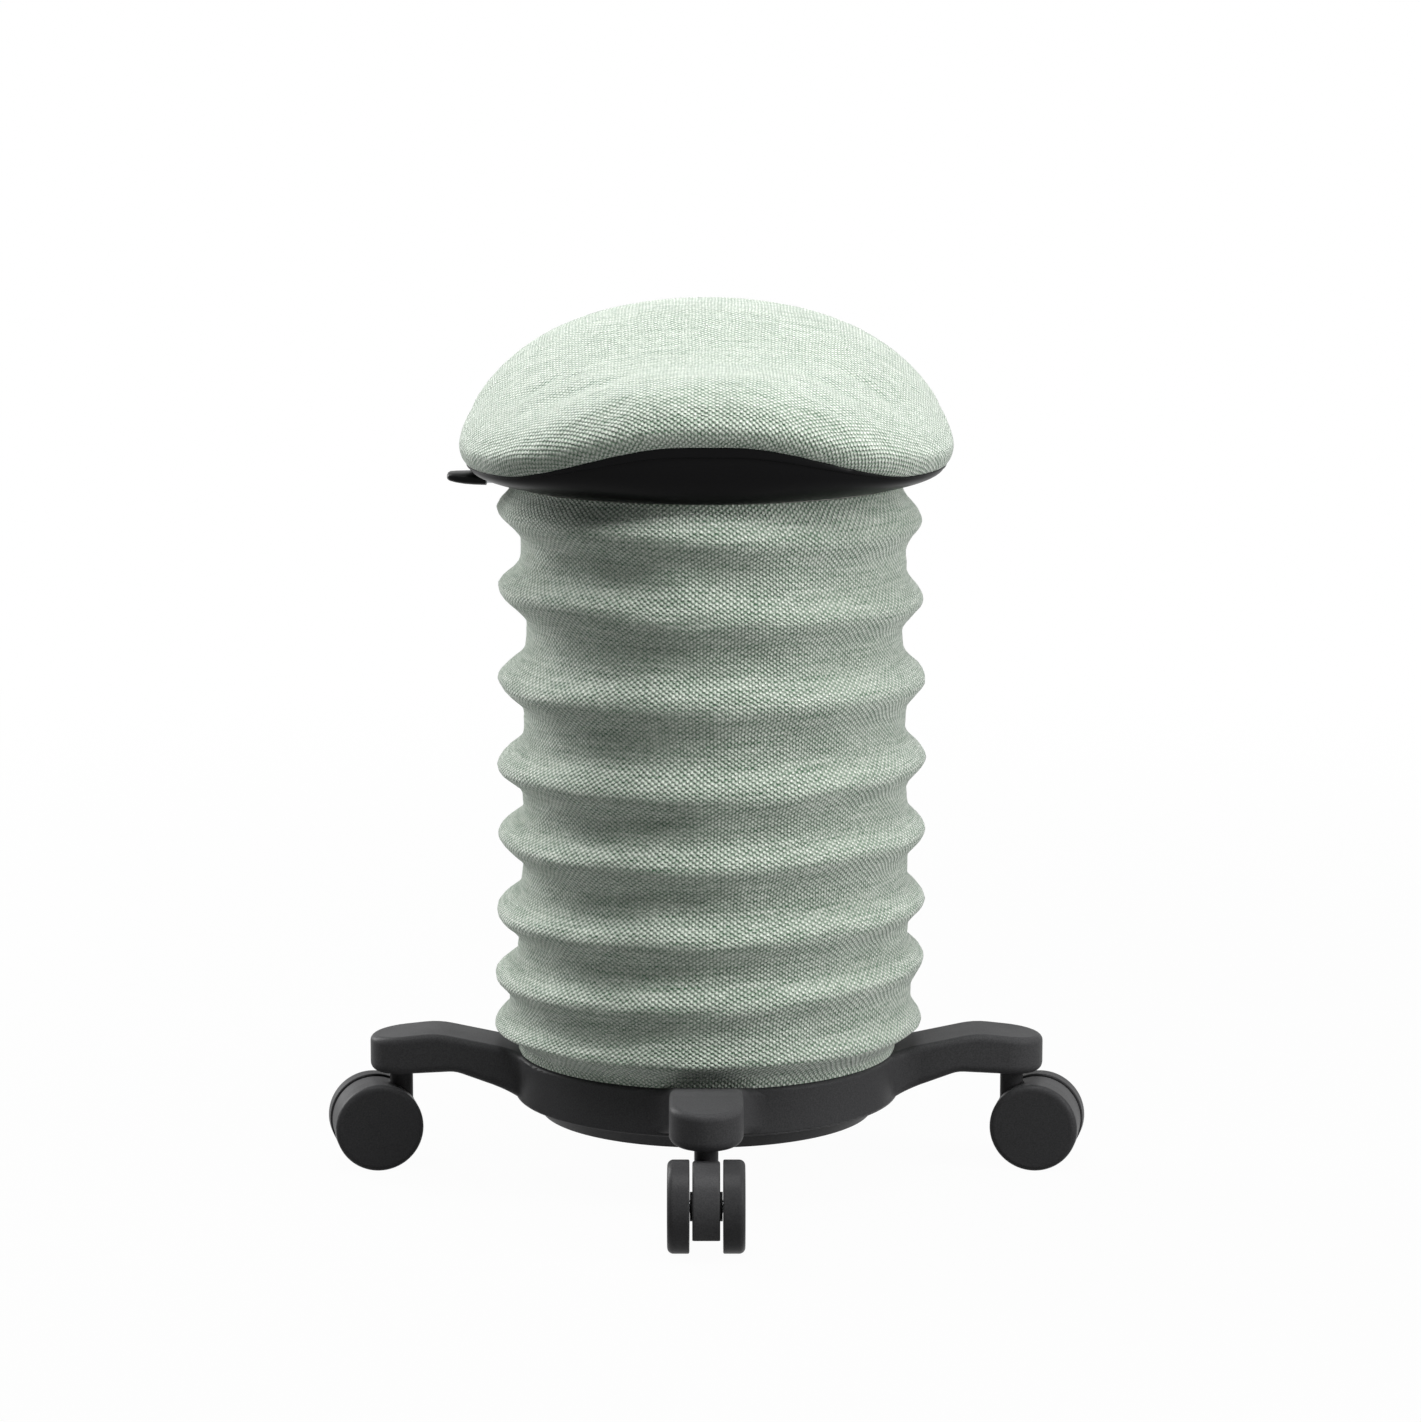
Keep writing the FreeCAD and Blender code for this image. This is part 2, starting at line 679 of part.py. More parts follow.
def sleeve():
    outside = Part.makeLoft(sleeve_circles(0.0), True, True)
    inside = Part.makeLoft(sleeve_circles(size("sleeve_wall")), True, True)
    nodes.append(solid_feature("sleeve", outside.cut(inside)))
    hoops = []
    for fold in range(FOLDS):
        height, tilt = fold_place(fold + 0.5)
        hoop = doc.addObject("Part::Torus", f"hoop_{fold + 1}")
        bind(hoop, "Radius1", "sleeve_crest - sleeve_wall - hoop_wire - seat_gap")
        bind(hoop, "Radius2", "hoop_wire")
        hoop.Placement = turned(tilt, (0, 1, 0), (0, 0, height))
        hoops.append(hoop)
    group = doc.addObject("Part::Compound", "sleeve_hoops")
    group.Links = hoops
    nodes.append(group)
    nodes.append(turned_piece("sleeve_lower_ring", [
        ("lower_ring_radius - ring_band", "ring_bottom"), ("lower_ring_radius", "ring_bottom"),
        ("lower_ring_radius", "ring_top"), ("lower_ring_radius - ring_band", "ring_top")]))
    nodes.append(turned_piece("sleeve_upper_ring", [
        ("upper_ring_radius - ring_band", "shell_floor - ring_height"),
        ("upper_ring_radius", "shell_floor - ring_height"), ("upper_ring_radius", "shell_floor"),
        ("upper_ring_radius - ring_band", "shell_floor")]))


# Seat: shell, board, foam and cover, all lofted through rings that follow the saddle's rim
def circle_ring(radius, height):
    step = math.pi / RING_ARCS
    return [vector(radius * math.cos(i * step), radius * math.sin(i * step), height)
            for i in range(2 * RING_ARCS)]


def signed_power(value, power):
    return math.copysign(abs(value) ** power, value)


def rim_ring(outset, lift=None, share=1.0):
    """Points of the seat's plan, grown by outset, at a height above the rim that lift gives."""
    step = math.pi / RING_ARCS
    points = []
    for index in range(2 * RING_ARCS):
        x = signed_power(math.cos(index * step), 2 / PLAN_POWER) * (size("seat_half_width") + outset) * share
        y = signed_power(math.sin(index * step), 2 / PLAN_POWER) * (size("seat_half_depth") + outset) * share
        points.append(vector(x, y, rim_height(x, y) if lift is None else rim_height(x, y) + lift))
    return points


def eased(share):
    """A share from 0 to 1 that leaves and arrives softly."""
    share = min(1.0, max(0.0, share))
    return share * share * (3 - 2 * share)


def rim_height(x, y):
    """The rim is low at the sides and the corners and rises to the middle of the front and back."""
    rise = size("rim_rise_front") if y < 0 else size("rim_rise_back")
    turn = math.degrees(math.atan2(abs(y), abs(x)))
    share = eased((turn - RIM_TURN_START) / (RIM_TURN_END - RIM_TURN_START))
    return size("shell_floor + rim_above_floor") + rise * share


def arc_wire(points):
    count = len(points)
    arcs = [Part.Arc(points[i], points[i + 1], points[(i + 2) % count]).toShape() for i in range(0, count, 2)]
    return Part.Wire(arcs)


def ring_loft(rings):
    return Part.makeLoft([arc_wire(ring) for ring in rings], True, True)


def closed_skin(rings):
    """A solid wall through rings of arcs, where the last ring leads back to the first."""
    wires = [arc_wire(ring) for ring in rings]
    faces = []
    for low, high in zip(wires, wires[1:] + wires[:1]):
        faces += [Part.makeRuledSurface(a, b) for a, b in zip(low.Edges, high.Edges)]
    skin = Part.makeCompound(faces)
    skin.sewShape()
    solid = Part.makeSolid(skin.Shells[0])
    if solid.Volume < 0:
        solid.reverse()
    return solid


def between(low, high, out_share, up_share):
    """A ring part of the way from one ring to another, out and up by separate shares."""
    return [vector(a.x + (b.x - a.x) * out_share, a.y + (b.y - a.y) * out_share, a.z + (b.z - a.z) * up_share)
            for a, b in zip(low, high)]


def shell_skin(floor_radius, floor_height, outset, steps=4):
    """Rings from the floor's edge to the rim along a quarter of an ellipse."""
    low = circle_ring(floor_radius, floor_height)
    high = rim_ring(outset)
    angles = [math.pi / 2 * step / steps for step in range(steps + 1)]
    return [between(low, high, math.sin(angle), 1 - math.cos(angle)) for angle in angles]


def shell_boss_places():
    spoke = turned(0.0, at=(size("shell_boss_circle"), 0, 0))
    return [turned(angle).multiply(spoke) for angle in SHELL_BOSS_ANGLES]


def seat_shell():
    floor = size("shell_floor")
    wall = size("shell_wall")
    hole_edge = size("shell_hole")
    outer = shell_skin(size("shell_floor_radius"), floor, 0.0)
    inner = shell_skin(size("shell_floor_radius") - wall, floor + wall, -wall)
    rings = [circle_ring(hole_edge, floor)] + outer + inner[::-1] + [circle_ring(hole_edge, floor + wall)]
    skin = solid_feature("shell_skin", closed_skin(rings))
    boss = cylinder("shell_boss", "shell_boss_radius", "board_above_floor - shell_wall / 2",
                    turned(0.0, at=(0, 0, size("shell_floor + shell_wall / 2"))))
    hole = cylinder("shell_screw_hole", "screw_radius + fit_gap", "board_above_floor * 2",
                    turned(0.0, at=(0, 0, size("shell_floor - board_above_floor / 2"))))
    window = doc.addObject("Part::Box", "shell_window")
    bind(window, "Length", "window_length")
    bind(window, "Width", "paddle_width + 2 * window_gap")
    bind(window, "Height", "window_depth * 2")
    window.Placement = turned(0.0, at=(-size("paddle_tip"), -size("paddle_width / 2 + window_gap"),
                                       size("shell_floor - window_depth")))
    doc.recompute()
    bosses = copies("shell_bosses", boss, shell_boss_places())
    holes = copies("shell_screw_holes", hole, shell_boss_places())
    whole = fused("shell_whole", [skin, bosses])
    nodes.append(cut("seat_shell", whole, [holes, window]))
    master = screw("shell_screw", "board_above_floor + screw_bite")
    seat = turned(0.0, at=(0, 0, size("shell_floor")))
    nodes.append(copies("shell_screws", master, [place.multiply(seat) for place in shell_boss_places()]))


def plate_screw_places(height):
    offset = size("plate_screw_offset")
    return [turned(0.0, at=(x * offset, y * offset, height)) for x in (-1, 1) for y in (-1, 1)]


def seat_board():
    edge = size("board_inset")
    drop = size("board_edge_drop")
    flat = size("board_flat")
    rings = [circle_ring(flat, size("board_bottom")), rim_ring(-edge, -drop),
             rim_ring(-edge, size("board_thickness") - drop), circle_ring(flat, size("board_top"))]
    blank = solid_feature("board_blank", ring_loft(rings))
    hole = cylinder("board_hole", "screw_radius + fit_gap", "screw_bite + fit_gap", turned(0.0))
    doc.recompute()
    low = size("board_bottom")
    up = turned(0.0, at=(0, 0, low))
    places = [up.multiply(place) for place in shell_boss_places()] + plate_screw_places(low)
    nodes.append(cut("seat_board", blank, [copies("board_holes", hole, places)]))


def cushion_top(x, y):
    """The saddle: a crown across, and a ramp from the low front to the high back."""
    ramp = eased((y + size("crest_ramp_start")) / size("crest_ramp_length"))
    crest = size("crest_front") + (size("crest_back") - size("crest_front")) * ramp
    crown = size("crown_drop") * (x / (size("seat_half_width") + size("cushion_bulge"))) ** 2
    return size("shell_floor") + crest - crown


def cushion_rings(skin):
    """Rings from the edge of the underside, round the bulging side and up to the crown."""
    edge_lift = size("board_thickness - board_edge_drop + seat_gap")
    bulge = size("cushion_bulge")
    high = size("bulge_height")
    rings = [rim_ring(-size("board_inset"), edge_lift + skin),
             rim_ring(-size("cover_tuck") - skin, size("seat_gap") + skin),
             rim_ring(bulge * FLANK_OUT - skin, high * FLANK_UP + skin * (1 - FLANK_UP)),
             rim_ring(bulge - skin, high)]
    for share in CROWN_SHARES:
        swell = math.sqrt(1 - share ** CROWN_POWER)
        ring = rim_ring(bulge - skin, high, share)
        rings.append([vector(p.x, p.y, p.z + (cushion_top(p.x, p.y) - skin - p.z) * swell) for p in ring])
    cap = rim_ring(bulge - skin, high, CAP_SHARE)
    back = max(p.y for p in cap)
    slope = (cushion_top(0.0, back) - cushion_top(0.0, -back)) / (2 * back)
    rings.append([vector(p.x, p.y, cushion_top(0.0, 0.0) - skin + slope * p.y) for p in cap])
    return rings


def cushion():
    """The cover is a skin that ends under the edge of the board, and the foam fills it."""
    thickness = size("cover_thickness")
    nodes.append(solid_feature("seat_cover", ring_loft(cushion_rings(thickness)[::-1] + cushion_rings(0.0))))
    inner = cushion_rings(thickness + size("running_gap"))
    under = size("board_top + seat_gap")
    edge = rim_ring(-size("board_inset + seat_gap"), size("board_thickness - board_edge_drop + seat_gap"))
    step = rim_ring(-size("board_inset + seat_gap"),
                    size("board_thickness - board_edge_drop + cover_thickness + 2 * seat_gap"))
    foam = [circle_ring(size("board_flat"), under), edge, step] + inner[1:]
    nodes.append(solid_feature("seat_foam", ring_loft(foam)))


# Seat bracket, and the lever that presses the valve
def seat_bracket():
    """A plate under the board with a slotted taper socket and two ears for the lever's pin."""
    body = new_body("seat_bracket")
    plate = outline(body, "bracket_plate", "XZ_Plane", [
        ("-plate_half", "plate_bottom"), ("plate_half", "plate_bottom"), ("plate_half", "board_bottom"),
        ("-plate_half", "board_bottom")])
    extrude(body, "Pad", plate, "2 * plate_half")
    round_edges(body, "bracket_corners", "plate_corner",
                lambda edge: edge.BoundBox.XLength < TOUCH and edge.BoundBox.YLength < TOUCH)
    left = "-lever_arm - cheek_half"
    right = "-lever_arm + cheek_half"
    sunk = "plate_bottom + plate_thickness / 2"
    ears = outline(body, "bracket_ears", "XZ_Plane", [
        (left, "cheek_bottom"), (right, "cheek_bottom"), (right, sunk),
        ("-plate_half + plate_thickness", sunk), ("-plate_half + plate_thickness", "plate_bottom"),
        (left, "plate_bottom")])
    extrude(body, "Pad", ears, "2 * (cheek_inner + cheek_wall)")
    gap = outline(body, "bracket_gap", "XZ_Plane", [
        (left + " - cut_over", "cheek_bottom - cut_over"), (right + " + cut_over", "cheek_bottom - cut_over"),
        (right + " + cut_over", "plate_bottom"), (left + " - cut_over", "plate_bottom")])
    extrude(body, "Pocket", gap, "2 * cheek_inner")
    taper_end = "cylinder_radius - cylinder_taper * (socket_length - socket_short) / socket_length + fit_gap"
    socket = outline(body, "bracket_socket", "XZ_Plane", [
        ("cylinder_radius + fit_gap", "socket_foot"), ("socket_radius", "socket_foot"),
        ("socket_radius", sunk), (taper_end, sunk), (taper_end, "taper_top")])
    turn(body, socket)
    beyond = "-socket_radius - cut_over"
    slot_low = "lever_height - lever_slot_half"
    slot_high = "lever_height + lever_slot_half"
    slot = outline(body, "bracket_slot", "XZ_Plane", [
        (beyond, slot_low), ("0", slot_low), ("0", slot_high), (beyond, slot_high)])
    extrude(body, "Pocket", slot, "2 * lever_slot_half")
    pin = circles(body, "bracket_pin_hole", "XZ_Plane", [("-lever_arm", "lever_height")],
                  "lever_pin_radius + fit_gap")
    extrude(body, "Pocket", pin, "4 * cheek_inner")
    offset = "plate_screw_offset"
    places = [(x + offset, y + offset) for x in ("", "-") for y in ("", "-")]
    screws = circles(body, "bracket_screw_holes", "XY_Plane", places, "screw_radius + fit_gap")
    extrude(body, "Pocket", screws, "4 * board_top")
    nodes.append(body)
    master = screw("bracket_screw", "plate_thickness + screw_bite")
    nodes.append(copies("bracket_screws", master, plate_screw_places(size("plate_bottom"))))


def rounded_path(points, radius):
    """Straight runs joined by tangent arcs of one radius."""
    edges = []
    start = points[0]
    for before, corner, after in zip(points, points[1:], points[2:]):
        into = (corner - before).normalize()
        out = (after - corner).normalize()
        reach = radius * math.tan(into.getAngle(out) / 2)
        first = corner - into * reach
        last = corner + out * reach
        inward = (out - into).normalize()
        centre = corner + inward * (radius / math.cos(into.getAngle(out) / 2))
        edges.append(Part.LineSegment(start, first).toShape())
        edges.append(Part.Arc(first, centre - inward * radius, last).toShape())
        start = last
    edges.append(Part.LineSegment(start, points[-1]).toShape())
    return Part.Wire(edges)


def lever():
    high = size("lever_height")
    low = size("paddle_height")
    path = rounded_path([
        vector(size("lever_tail"), 0, high), vector(-size("lever_knee"), 0, high),
        vector(-size("lever_ankle"), 0, low),
        vector(-size("paddle_root + lever_grip_depth"), 0, low)], size("lever_bend"))
    section = Part.Wire([Part.makeCircle(size("lever_radius"), path.Vertexes[0].Point, vector(1, 0, 0))])
    rod = solid_feature("lever_rod", path.makePipeShell([section], True, False))
    eye = cylinder("lever_eye", "lever_eye_radius", "2 * lever_eye_half",
                   turned(90.0, (1, 0, 0), (-size("lever_arm"), size("lever_eye_half"), high)))
    bore = cylinder("lever_bore", "lever_pin_radius + running_gap", "4 * lever_eye_half",
                    turned(90.0, (1, 0, 0), (-size("lever_arm"), size("2 * lever_eye_half"), high)))
    doc.recompute()
    nodes.append(cut("lever_bar", fused("lever_whole", [rod, eye]), [bore]))
    pin = cylinder("lever_pin", "lever_pin_radius", "2 * pin_half_length",
                   turned(90.0, (1, 0, 0), (-size("lever_arm"), size("pin_half_length"), high)))
    pin.Label = "lever_pin"
    nodes.append(pin)


def lever_paddle():
    body = new_body("paddle_blank")
    half = "paddle_thickness / 2"
    shoulder = "-paddle_root - (paddle_tip - paddle_root) / 2"
    side = outline(body, "paddle_side", "XZ_Plane", [
        ("-paddle_root", "paddle_height - " + half), (shoulder, "paddle_height - " + half),
        ("-paddle_tip", "paddle_height - paddle_droop - " + half),
        ("-paddle_tip", "paddle_height - paddle_droop + " + half), (shoulder, "paddle_height + " + half),
        ("-paddle_root", "paddle_height + " + half)])
    extrude(body, "Pad", side, "paddle_width")
    tip = size("paddle_tip")
    round_edges(body, "paddle_rounds", "paddle_round",
                lambda edge: all(abs(v.X + tip) < TOUCH for v in edge.Vertexes))
    socket = cylinder("paddle_socket", "lever_radius + fit_gap", "lever_grip_depth + fit_gap + cut_over",
                      turned(-90.0, (0, 1, 0), (-size("paddle_root - cut_over"), 0, size("paddle_height"))))
    doc.recompute()
    nodes.append(cut("lever_paddle", body, [socket]))


# Casters: each has a hood that turns on its stem and two wheels on one axle
def wheel_offset():
    return size("housing_width / 2 + wheel_side_gap")


def caster_housing(label, placement):
    body = new_body(label)
    axle_place = [("-caster_trail", "wheel_radius")]
    hood = circles(body, label + "_hood", "YZ_Plane", axle_place, "housing_radius")
    extrude(body, "Pad", hood, "housing_width")
    flat = outline(body, label + "_flat", "YZ_Plane", [
        ("-caster_trail - housing_radius - cut_over", "-cut_over"),
        ("-caster_trail + housing_radius + cut_over", "-cut_over"),
        ("-caster_trail + housing_radius + cut_over", "wheel_radius - housing_skirt"),
        ("-caster_trail - housing_radius - cut_over", "wheel_radius - housing_skirt")])
    extrude(body, "Pocket", flat, "2 * housing_width")
    half = size("housing_width / 2")
    round_edges(body, label + "_rounds", "housing_round",
                lambda edge: all(abs(abs(v.X) - half) < TOUCH for v in edge.Vertexes)
                and not isinstance(edge.Curve, Part.Line))
    bosses = circles(body, label + "_bosses", "YZ_Plane", axle_place, "wheel_hub_radius")
    extrude(body, "Pad", bosses, "housing_width + 2 * wheel_side_gap - 2 * seat_gap")
    neck = outline(body, label + "_neck", "XZ_Plane", [
        ("0", "wheel_radius - housing_skirt / 4"), ("stem_boss_radius", "wheel_radius - housing_skirt / 4"),
        ("stem_boss_radius", "boss_top"), ("0", "boss_top")])
    turn(body, neck)
    bore = circles(body, label + "_axle_bore", "YZ_Plane", axle_place, "axle_radius + fit_gap")
    extrude(body, "Pocket", bore, "4 * housing_width")
    socket = outline(body, label + "_stem_bore", "XZ_Plane", [
        ("0", "stem_bottom"), ("stem_radius + fit_gap", "stem_bottom"),
        ("stem_radius + fit_gap", "boss_top + cut_over"), ("0", "boss_top + cut_over")])
    groove = body.newObject("PartDesign::Groove", label + "_stem_groove")
    groove.Profile = socket
    groove.ReferenceAxis = (socket, ["V_Axis"])
    groove.Angle = 360.0
    doc.recompute()
    body.Placement = placement
    nodes.append(body)


def caster_stem(label, placement):
    body = turned_piece(label, [
        ("0", "stem_bottom"), ("stem_radius", "stem_bottom"), ("stem_radius", "grip_top - grip_height"),
        ("stem_radius - grip_groove", "grip_top - grip_height"), ("stem_radius - grip_groove", "grip_top"),
        ("stem_radius", "grip_top"), ("stem_radius", "stem_top - stem_chamfer"),
        ("stem_radius - stem_chamfer", "stem_top"), ("0", "stem_top")])
    body.Placement = placement
    nodes.append(body)


def grip_ring(label, placement):
    body = turned_piece(label, [
        ("stem_radius - grip_groove + fit_gap", "grip_top - grip_height + fit_gap"),
        ("stem_radius", "grip_top - grip_height + fit_gap"), ("stem_radius", "grip_top - fit_gap"),
        ("stem_radius - grip_groove + fit_gap", "grip_top - fit_gap")], angle=320.0)
    body.Placement = placement
    nodes.append(body)


def caster_axle(label, placement):
    half = "housing_width / 2 + wheel_side_gap + wheel_width - wheel_face_wall - seat_gap"
    axle = cylinder(label, "axle_radius", "2 * (" + half + ")", placement.multiply(
        turned(90.0, (0, 1, 0), (-size(half), -size("caster_trail"), size("wheel_radius")))))
    axle.Label = label
    nodes.append(axle)


def caster_wheel(label, placement):
    """A closed disc with a hollow inner side, its inner face at x = 0 and its outer face at x = width."""
    body = new_body(label)
    bore = "axle_radius + running_gap"
    deep = "wheel_width - wheel_face_wall"
    section = outline(body, label + "_section", "XZ_Plane", [
        ("0", bore), ("0", "wheel_hub_radius"), ("wheel_recess", "wheel_hub_radius"),
        ("wheel_recess", "wheel_radius - wheel_rim_wall"), ("0", "wheel_radius - wheel_rim_wall"),
        ("0", "wheel_radius"), ("wheel_width", "wheel_radius"), ("wheel_width", "0"), (deep, "0"),
        (deep, bore)])
    turn(body, section, axis="H_Axis")
    outer = size("wheel_width")
    round_edges(body, label + "_rim_round", "wheel_edge_round",
                lambda edge: isinstance(edge.Curve, Part.Circle) and abs(edge.Curve.Center.x - outer) < TOUCH)
    inner = size("wheel_radius")
    round_edges(body, label + "_inner_round", "wheel_edge_round / 4",
                lambda edge: isinstance(edge.Curve, Part.Circle) and abs(edge.Curve.Center.x) < TOUCH
                and abs(edge.Curve.Radius - inner) < TOUCH)
    body.Placement = placement
    nodes.append(body)


def casters():
    swing = size("caster_swing")
    lean = {"front": 0.0, "right": -swing, "back": 0.0, "left": swing}
    for name, around in CASTER_TURNS.items():
        arm = turned(around).multVec(vector(0, -size("caster_distance"), 0))
        seat = turned(around + lean[name], at=(arm.x, arm.y, 0))
        start = "caster_" + name
        caster_housing(start + "_housing", seat)
        caster_stem(start + "_stem", seat)
        grip_ring(start + "_grip_ring", seat)
        caster_axle(start + "_axle", seat)
        for side, facing in (("a", 180.0), ("b", 0.0)):
            shift = wheel_offset() if side == "b" else -wheel_offset()
            hub = turned(facing, at=(shift, -size("caster_trail"), size("wheel_radius")))
            caster_wheel(f"{start}_wheel_{side}", seat.multiply(hub))


base_star()
under_cover()
caster_sockets()
column()
thrust_ball_cage()
sleeve()
seat_shell()
seat_board()
cushion()
seat_bracket()
lever()
lever_paddle()
casters()
doc.recompute()

for item in doc.Objects:
    if "Invalid" in item.State or "Error" in item.State:
        raise RuntimeError(f"{item.Label} could not be built: {item.State}")
for node in nodes:
    if node.Shape.isNull() or not node.Shape.isValid():
        raise RuntimeError(f"{node.Label} has no valid shape")

os.makedirs("parts", exist_ok=True)
for node in nodes:
    node.Shape.exportStep(f"parts/{node.Label}.step")
print(f"{len(nodes)} pieces written")
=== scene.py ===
# %% [markdown]
# # A saddle stool with a bellows sleeve
#
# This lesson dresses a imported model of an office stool. The model brings the bodies, the joints and the
# hard pieces, all in metres, with the origin on the floor under the column and the front towards -Y.
# Blender adds what a solid modeller does badly: knitted cloth, a stuffed seat, moulded plastic, light and
# a camera.

# %% Load the frame
import bpy
import bmesh
import json
import math
import numpy as np
from itertools import product
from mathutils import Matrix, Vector
from mathutils.bvhtree import BVHTree
from mathutils.interpolate import poly_3d_calc


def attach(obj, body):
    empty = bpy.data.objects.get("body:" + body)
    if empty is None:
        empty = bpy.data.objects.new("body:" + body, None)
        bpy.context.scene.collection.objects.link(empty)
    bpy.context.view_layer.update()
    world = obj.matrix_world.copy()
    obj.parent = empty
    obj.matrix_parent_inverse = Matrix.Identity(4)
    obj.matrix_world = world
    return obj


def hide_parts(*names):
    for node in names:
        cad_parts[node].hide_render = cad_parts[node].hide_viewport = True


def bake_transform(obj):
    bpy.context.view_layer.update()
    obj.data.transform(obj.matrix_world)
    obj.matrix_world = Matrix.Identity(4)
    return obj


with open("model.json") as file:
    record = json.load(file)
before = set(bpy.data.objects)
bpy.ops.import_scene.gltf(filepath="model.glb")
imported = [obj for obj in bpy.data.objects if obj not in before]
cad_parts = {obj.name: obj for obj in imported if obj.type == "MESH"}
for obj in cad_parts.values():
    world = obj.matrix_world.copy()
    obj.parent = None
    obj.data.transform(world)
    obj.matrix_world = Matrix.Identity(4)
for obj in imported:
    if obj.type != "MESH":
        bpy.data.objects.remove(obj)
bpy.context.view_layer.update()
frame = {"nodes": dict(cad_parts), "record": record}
nodes = frame["nodes"]

# %% [markdown]
# ## Small tools
#
# Colours are written as the sRGB hex values that a paint chart gives, and one function turns them into
# the linear values that a renderer adds up. One function adds a node of any kind, in a material or in a
# geometry tree, with its settings and its links. Where an input is given as a node, that node's first
# output is linked.

# %% Colours and nodes
MM = 0.001
MATH = "ShaderNodeMath"
NOISE = "ShaderNodeTexNoise"
RANGE = "ShaderNodeMapRange"
JOIN = "ShaderNodeCombineXYZ"
SPLIT = "ShaderNodeSeparateXYZ"


def linear(hex_colour):
    """The linear colour of an sRGB hex value, fully opaque."""
    channels = [int(hex_colour[i:i + 2], 16) / 255 for i in (1, 3, 5)]
    return [c / 12.92 if c <= 0.04045 else ((c + 0.055) / 1.055) ** 2.4 for c in channels] + [1.0]


def connect(tree, node, inputs):
    """Link or set a node's inputs."""
    for name, value in inputs.items():
        if isinstance(value, bpy.types.Node):
            value = value.outputs[0]
        if isinstance(value, bpy.types.NodeSocket):
            tree.links.new(value, node.inputs[name])
        else:
            node.inputs[name].default_value = value


def add(tree, kind, inputs=None, **settings):
    """Add a node: first its settings, which can change what inputs there are, then its inputs."""
    made = tree.nodes.new(kind)
    for name, value in settings.items():
        setattr(made, name, value)
    connect(tree, made, inputs or {})
    return made


WHITE = linear("#ffffff")
print("white in linear light:", WHITE)

# %% [markdown]
# Every object that is made here is put into the scene in the same way, and modifiers are turned into
# plain meshes, because the frame only takes finished pieces.

# %% Objects and meshes
def placed(name, data):
    """A new object in the scene, for a mesh, a lamp or a camera."""
    made = bpy.data.objects.new(name, data)
    bpy.context.scene.collection.objects.link(made)
    return made


def mesh_object(name, vertices, faces):
    mesh = bpy.data.meshes.new(name)
    mesh.from_pydata([tuple(v) for v in vertices], [], faces)
    mesh.validate()
    return placed(name, mesh)


def evaluated_mesh(piece):
    """A plain mesh of what a piece's modifiers make."""
    evaluated = piece.evaluated_get(bpy.context.evaluated_depsgraph_get())
    return bpy.data.meshes.new_from_object(evaluated)


def apply_modifiers(piece):
    mesh = evaluated_mesh(piece)
    piece.modifiers.clear()
    piece.data = mesh


def dress(piece, material):
    """Shade a new piece smooth and give it its one material."""
    piece.data.shade_smooth()
    piece.data.materials.clear()
    piece.data.materials.append(material)


def new_material(name):
    """A material, its node tree and its principled surface."""
    material = bpy.data.materials.new(name)
    material.use_nodes = True
    tree = material.node_tree
    tree.nodes.clear()
    surface = add(tree, "ShaderNodeBsdfPrincipled")
    add(tree, "ShaderNodeOutputMaterial", {"Surface": surface})
    return material, tree, surface


# %% [markdown]
# ## The sage knit
#
# The seat and the sleeve wear the same upholstery cloth: a melange polyester knit whose small loops stand
# in staggered rows, 4.5 mm apart, with fine ribs of half that pitch. A picture of cloth would blur close
# up and show its repeat, so crossed cosine waves give the loops, pits and ribs, and a slow noise pulls
# the rows a little out of line. Each piece carries a map named "weave" in metres, so the loops keep their
# size everywhere.

# %% Knit loops
LOOP_WIDE = 4.5 * MM
LOOP_TALL = 3.6 * MM
RIB_SHARE = 0.3
PIT_LEVEL = -1.1
LOOP_LEVEL = 1.0
PULL_LONG = 30.0 * MM
PULL_WIDE = 3.0 * MM


def knit_loops(tree, weave):
    """The lift of the yarn, from 0 in the pits to 1 on the loops."""
    wander = add(tree, NOISE, {"Vector": weave, "Scale": 1 / PULL_LONG, "Detail": 1.0})
    shift = add(tree, "ShaderNodeVectorMath", {0: wander.outputs["Color"], 1: (0.5, 0.5, 0.5)},
                operation="SUBTRACT")
    pulled = add(tree, "ShaderNodeVectorMath", {0: shift, 1: (PULL_WIDE, PULL_WIDE, 0.0), 2: weave},
                 operation="MULTIPLY_ADD")
    place = add(tree, SPLIT, {0: pulled})
    across = add(tree, MATH, {0: place.outputs[0], 1: 2 * math.pi / LOOP_WIDE}, operation="MULTIPLY")
    along = add(tree, MATH, {0: place.outputs[1], 1: 2 * math.pi / LOOP_TALL}, operation="MULTIPLY")
    wave_across = add(tree, MATH, {0: across}, operation="COSINE")
    wave_along = add(tree, MATH, {0: along}, operation="COSINE")
    loops = add(tree, MATH, {0: wave_across, 1: wave_along}, operation="MULTIPLY")
    twice = add(tree, MATH, {0: across, 1: 2.0}, operation="MULTIPLY")
    ribs = add(tree, MATH, {0: twice}, operation="COSINE")
    ribbed = add(tree, MATH, {0: ribs, 1: RIB_SHARE, 2: loops}, operation="MULTIPLY_ADD")
    return add(tree, RANGE, {"Value": ribbed, "From Min": PIT_LEVEL, "From Max": LOOP_LEVEL},
               interpolation_type="SMOOTHSTEP")


print("knit loops", LOOP_WIDE / MM, "by", LOOP_TALL / MM, "mm")

# %% [markdown]
# Pale and green fibres are twisted into one yarn, so the colour wanders in short streaks along the rows,
# in flecks of a loop or two and from fibre to fibre. Each is a noise of its own size, and their sum with
# the lift of the loops chooses between the deep and the pale colour. The lift darkens the pits partly
# for the green fibres that show there and partly as painted shade in the pits, which the bump cannot cast.

# %% Knit material
STREAK_LONG = 48.0 * MM
STREAK_TALL = 2.2 * MM
FIBRE_WIDE = 1.6 * MM
FLECK_WIDE = 6.0 * MM
LOOP_TONE_AND_PIT_SHADE = 0.56
PIT_TONE_AND_SHADE = -0.13
LOOP_RELIEF = 1.6 * MM
FIBRE_RELIEF = 0.2


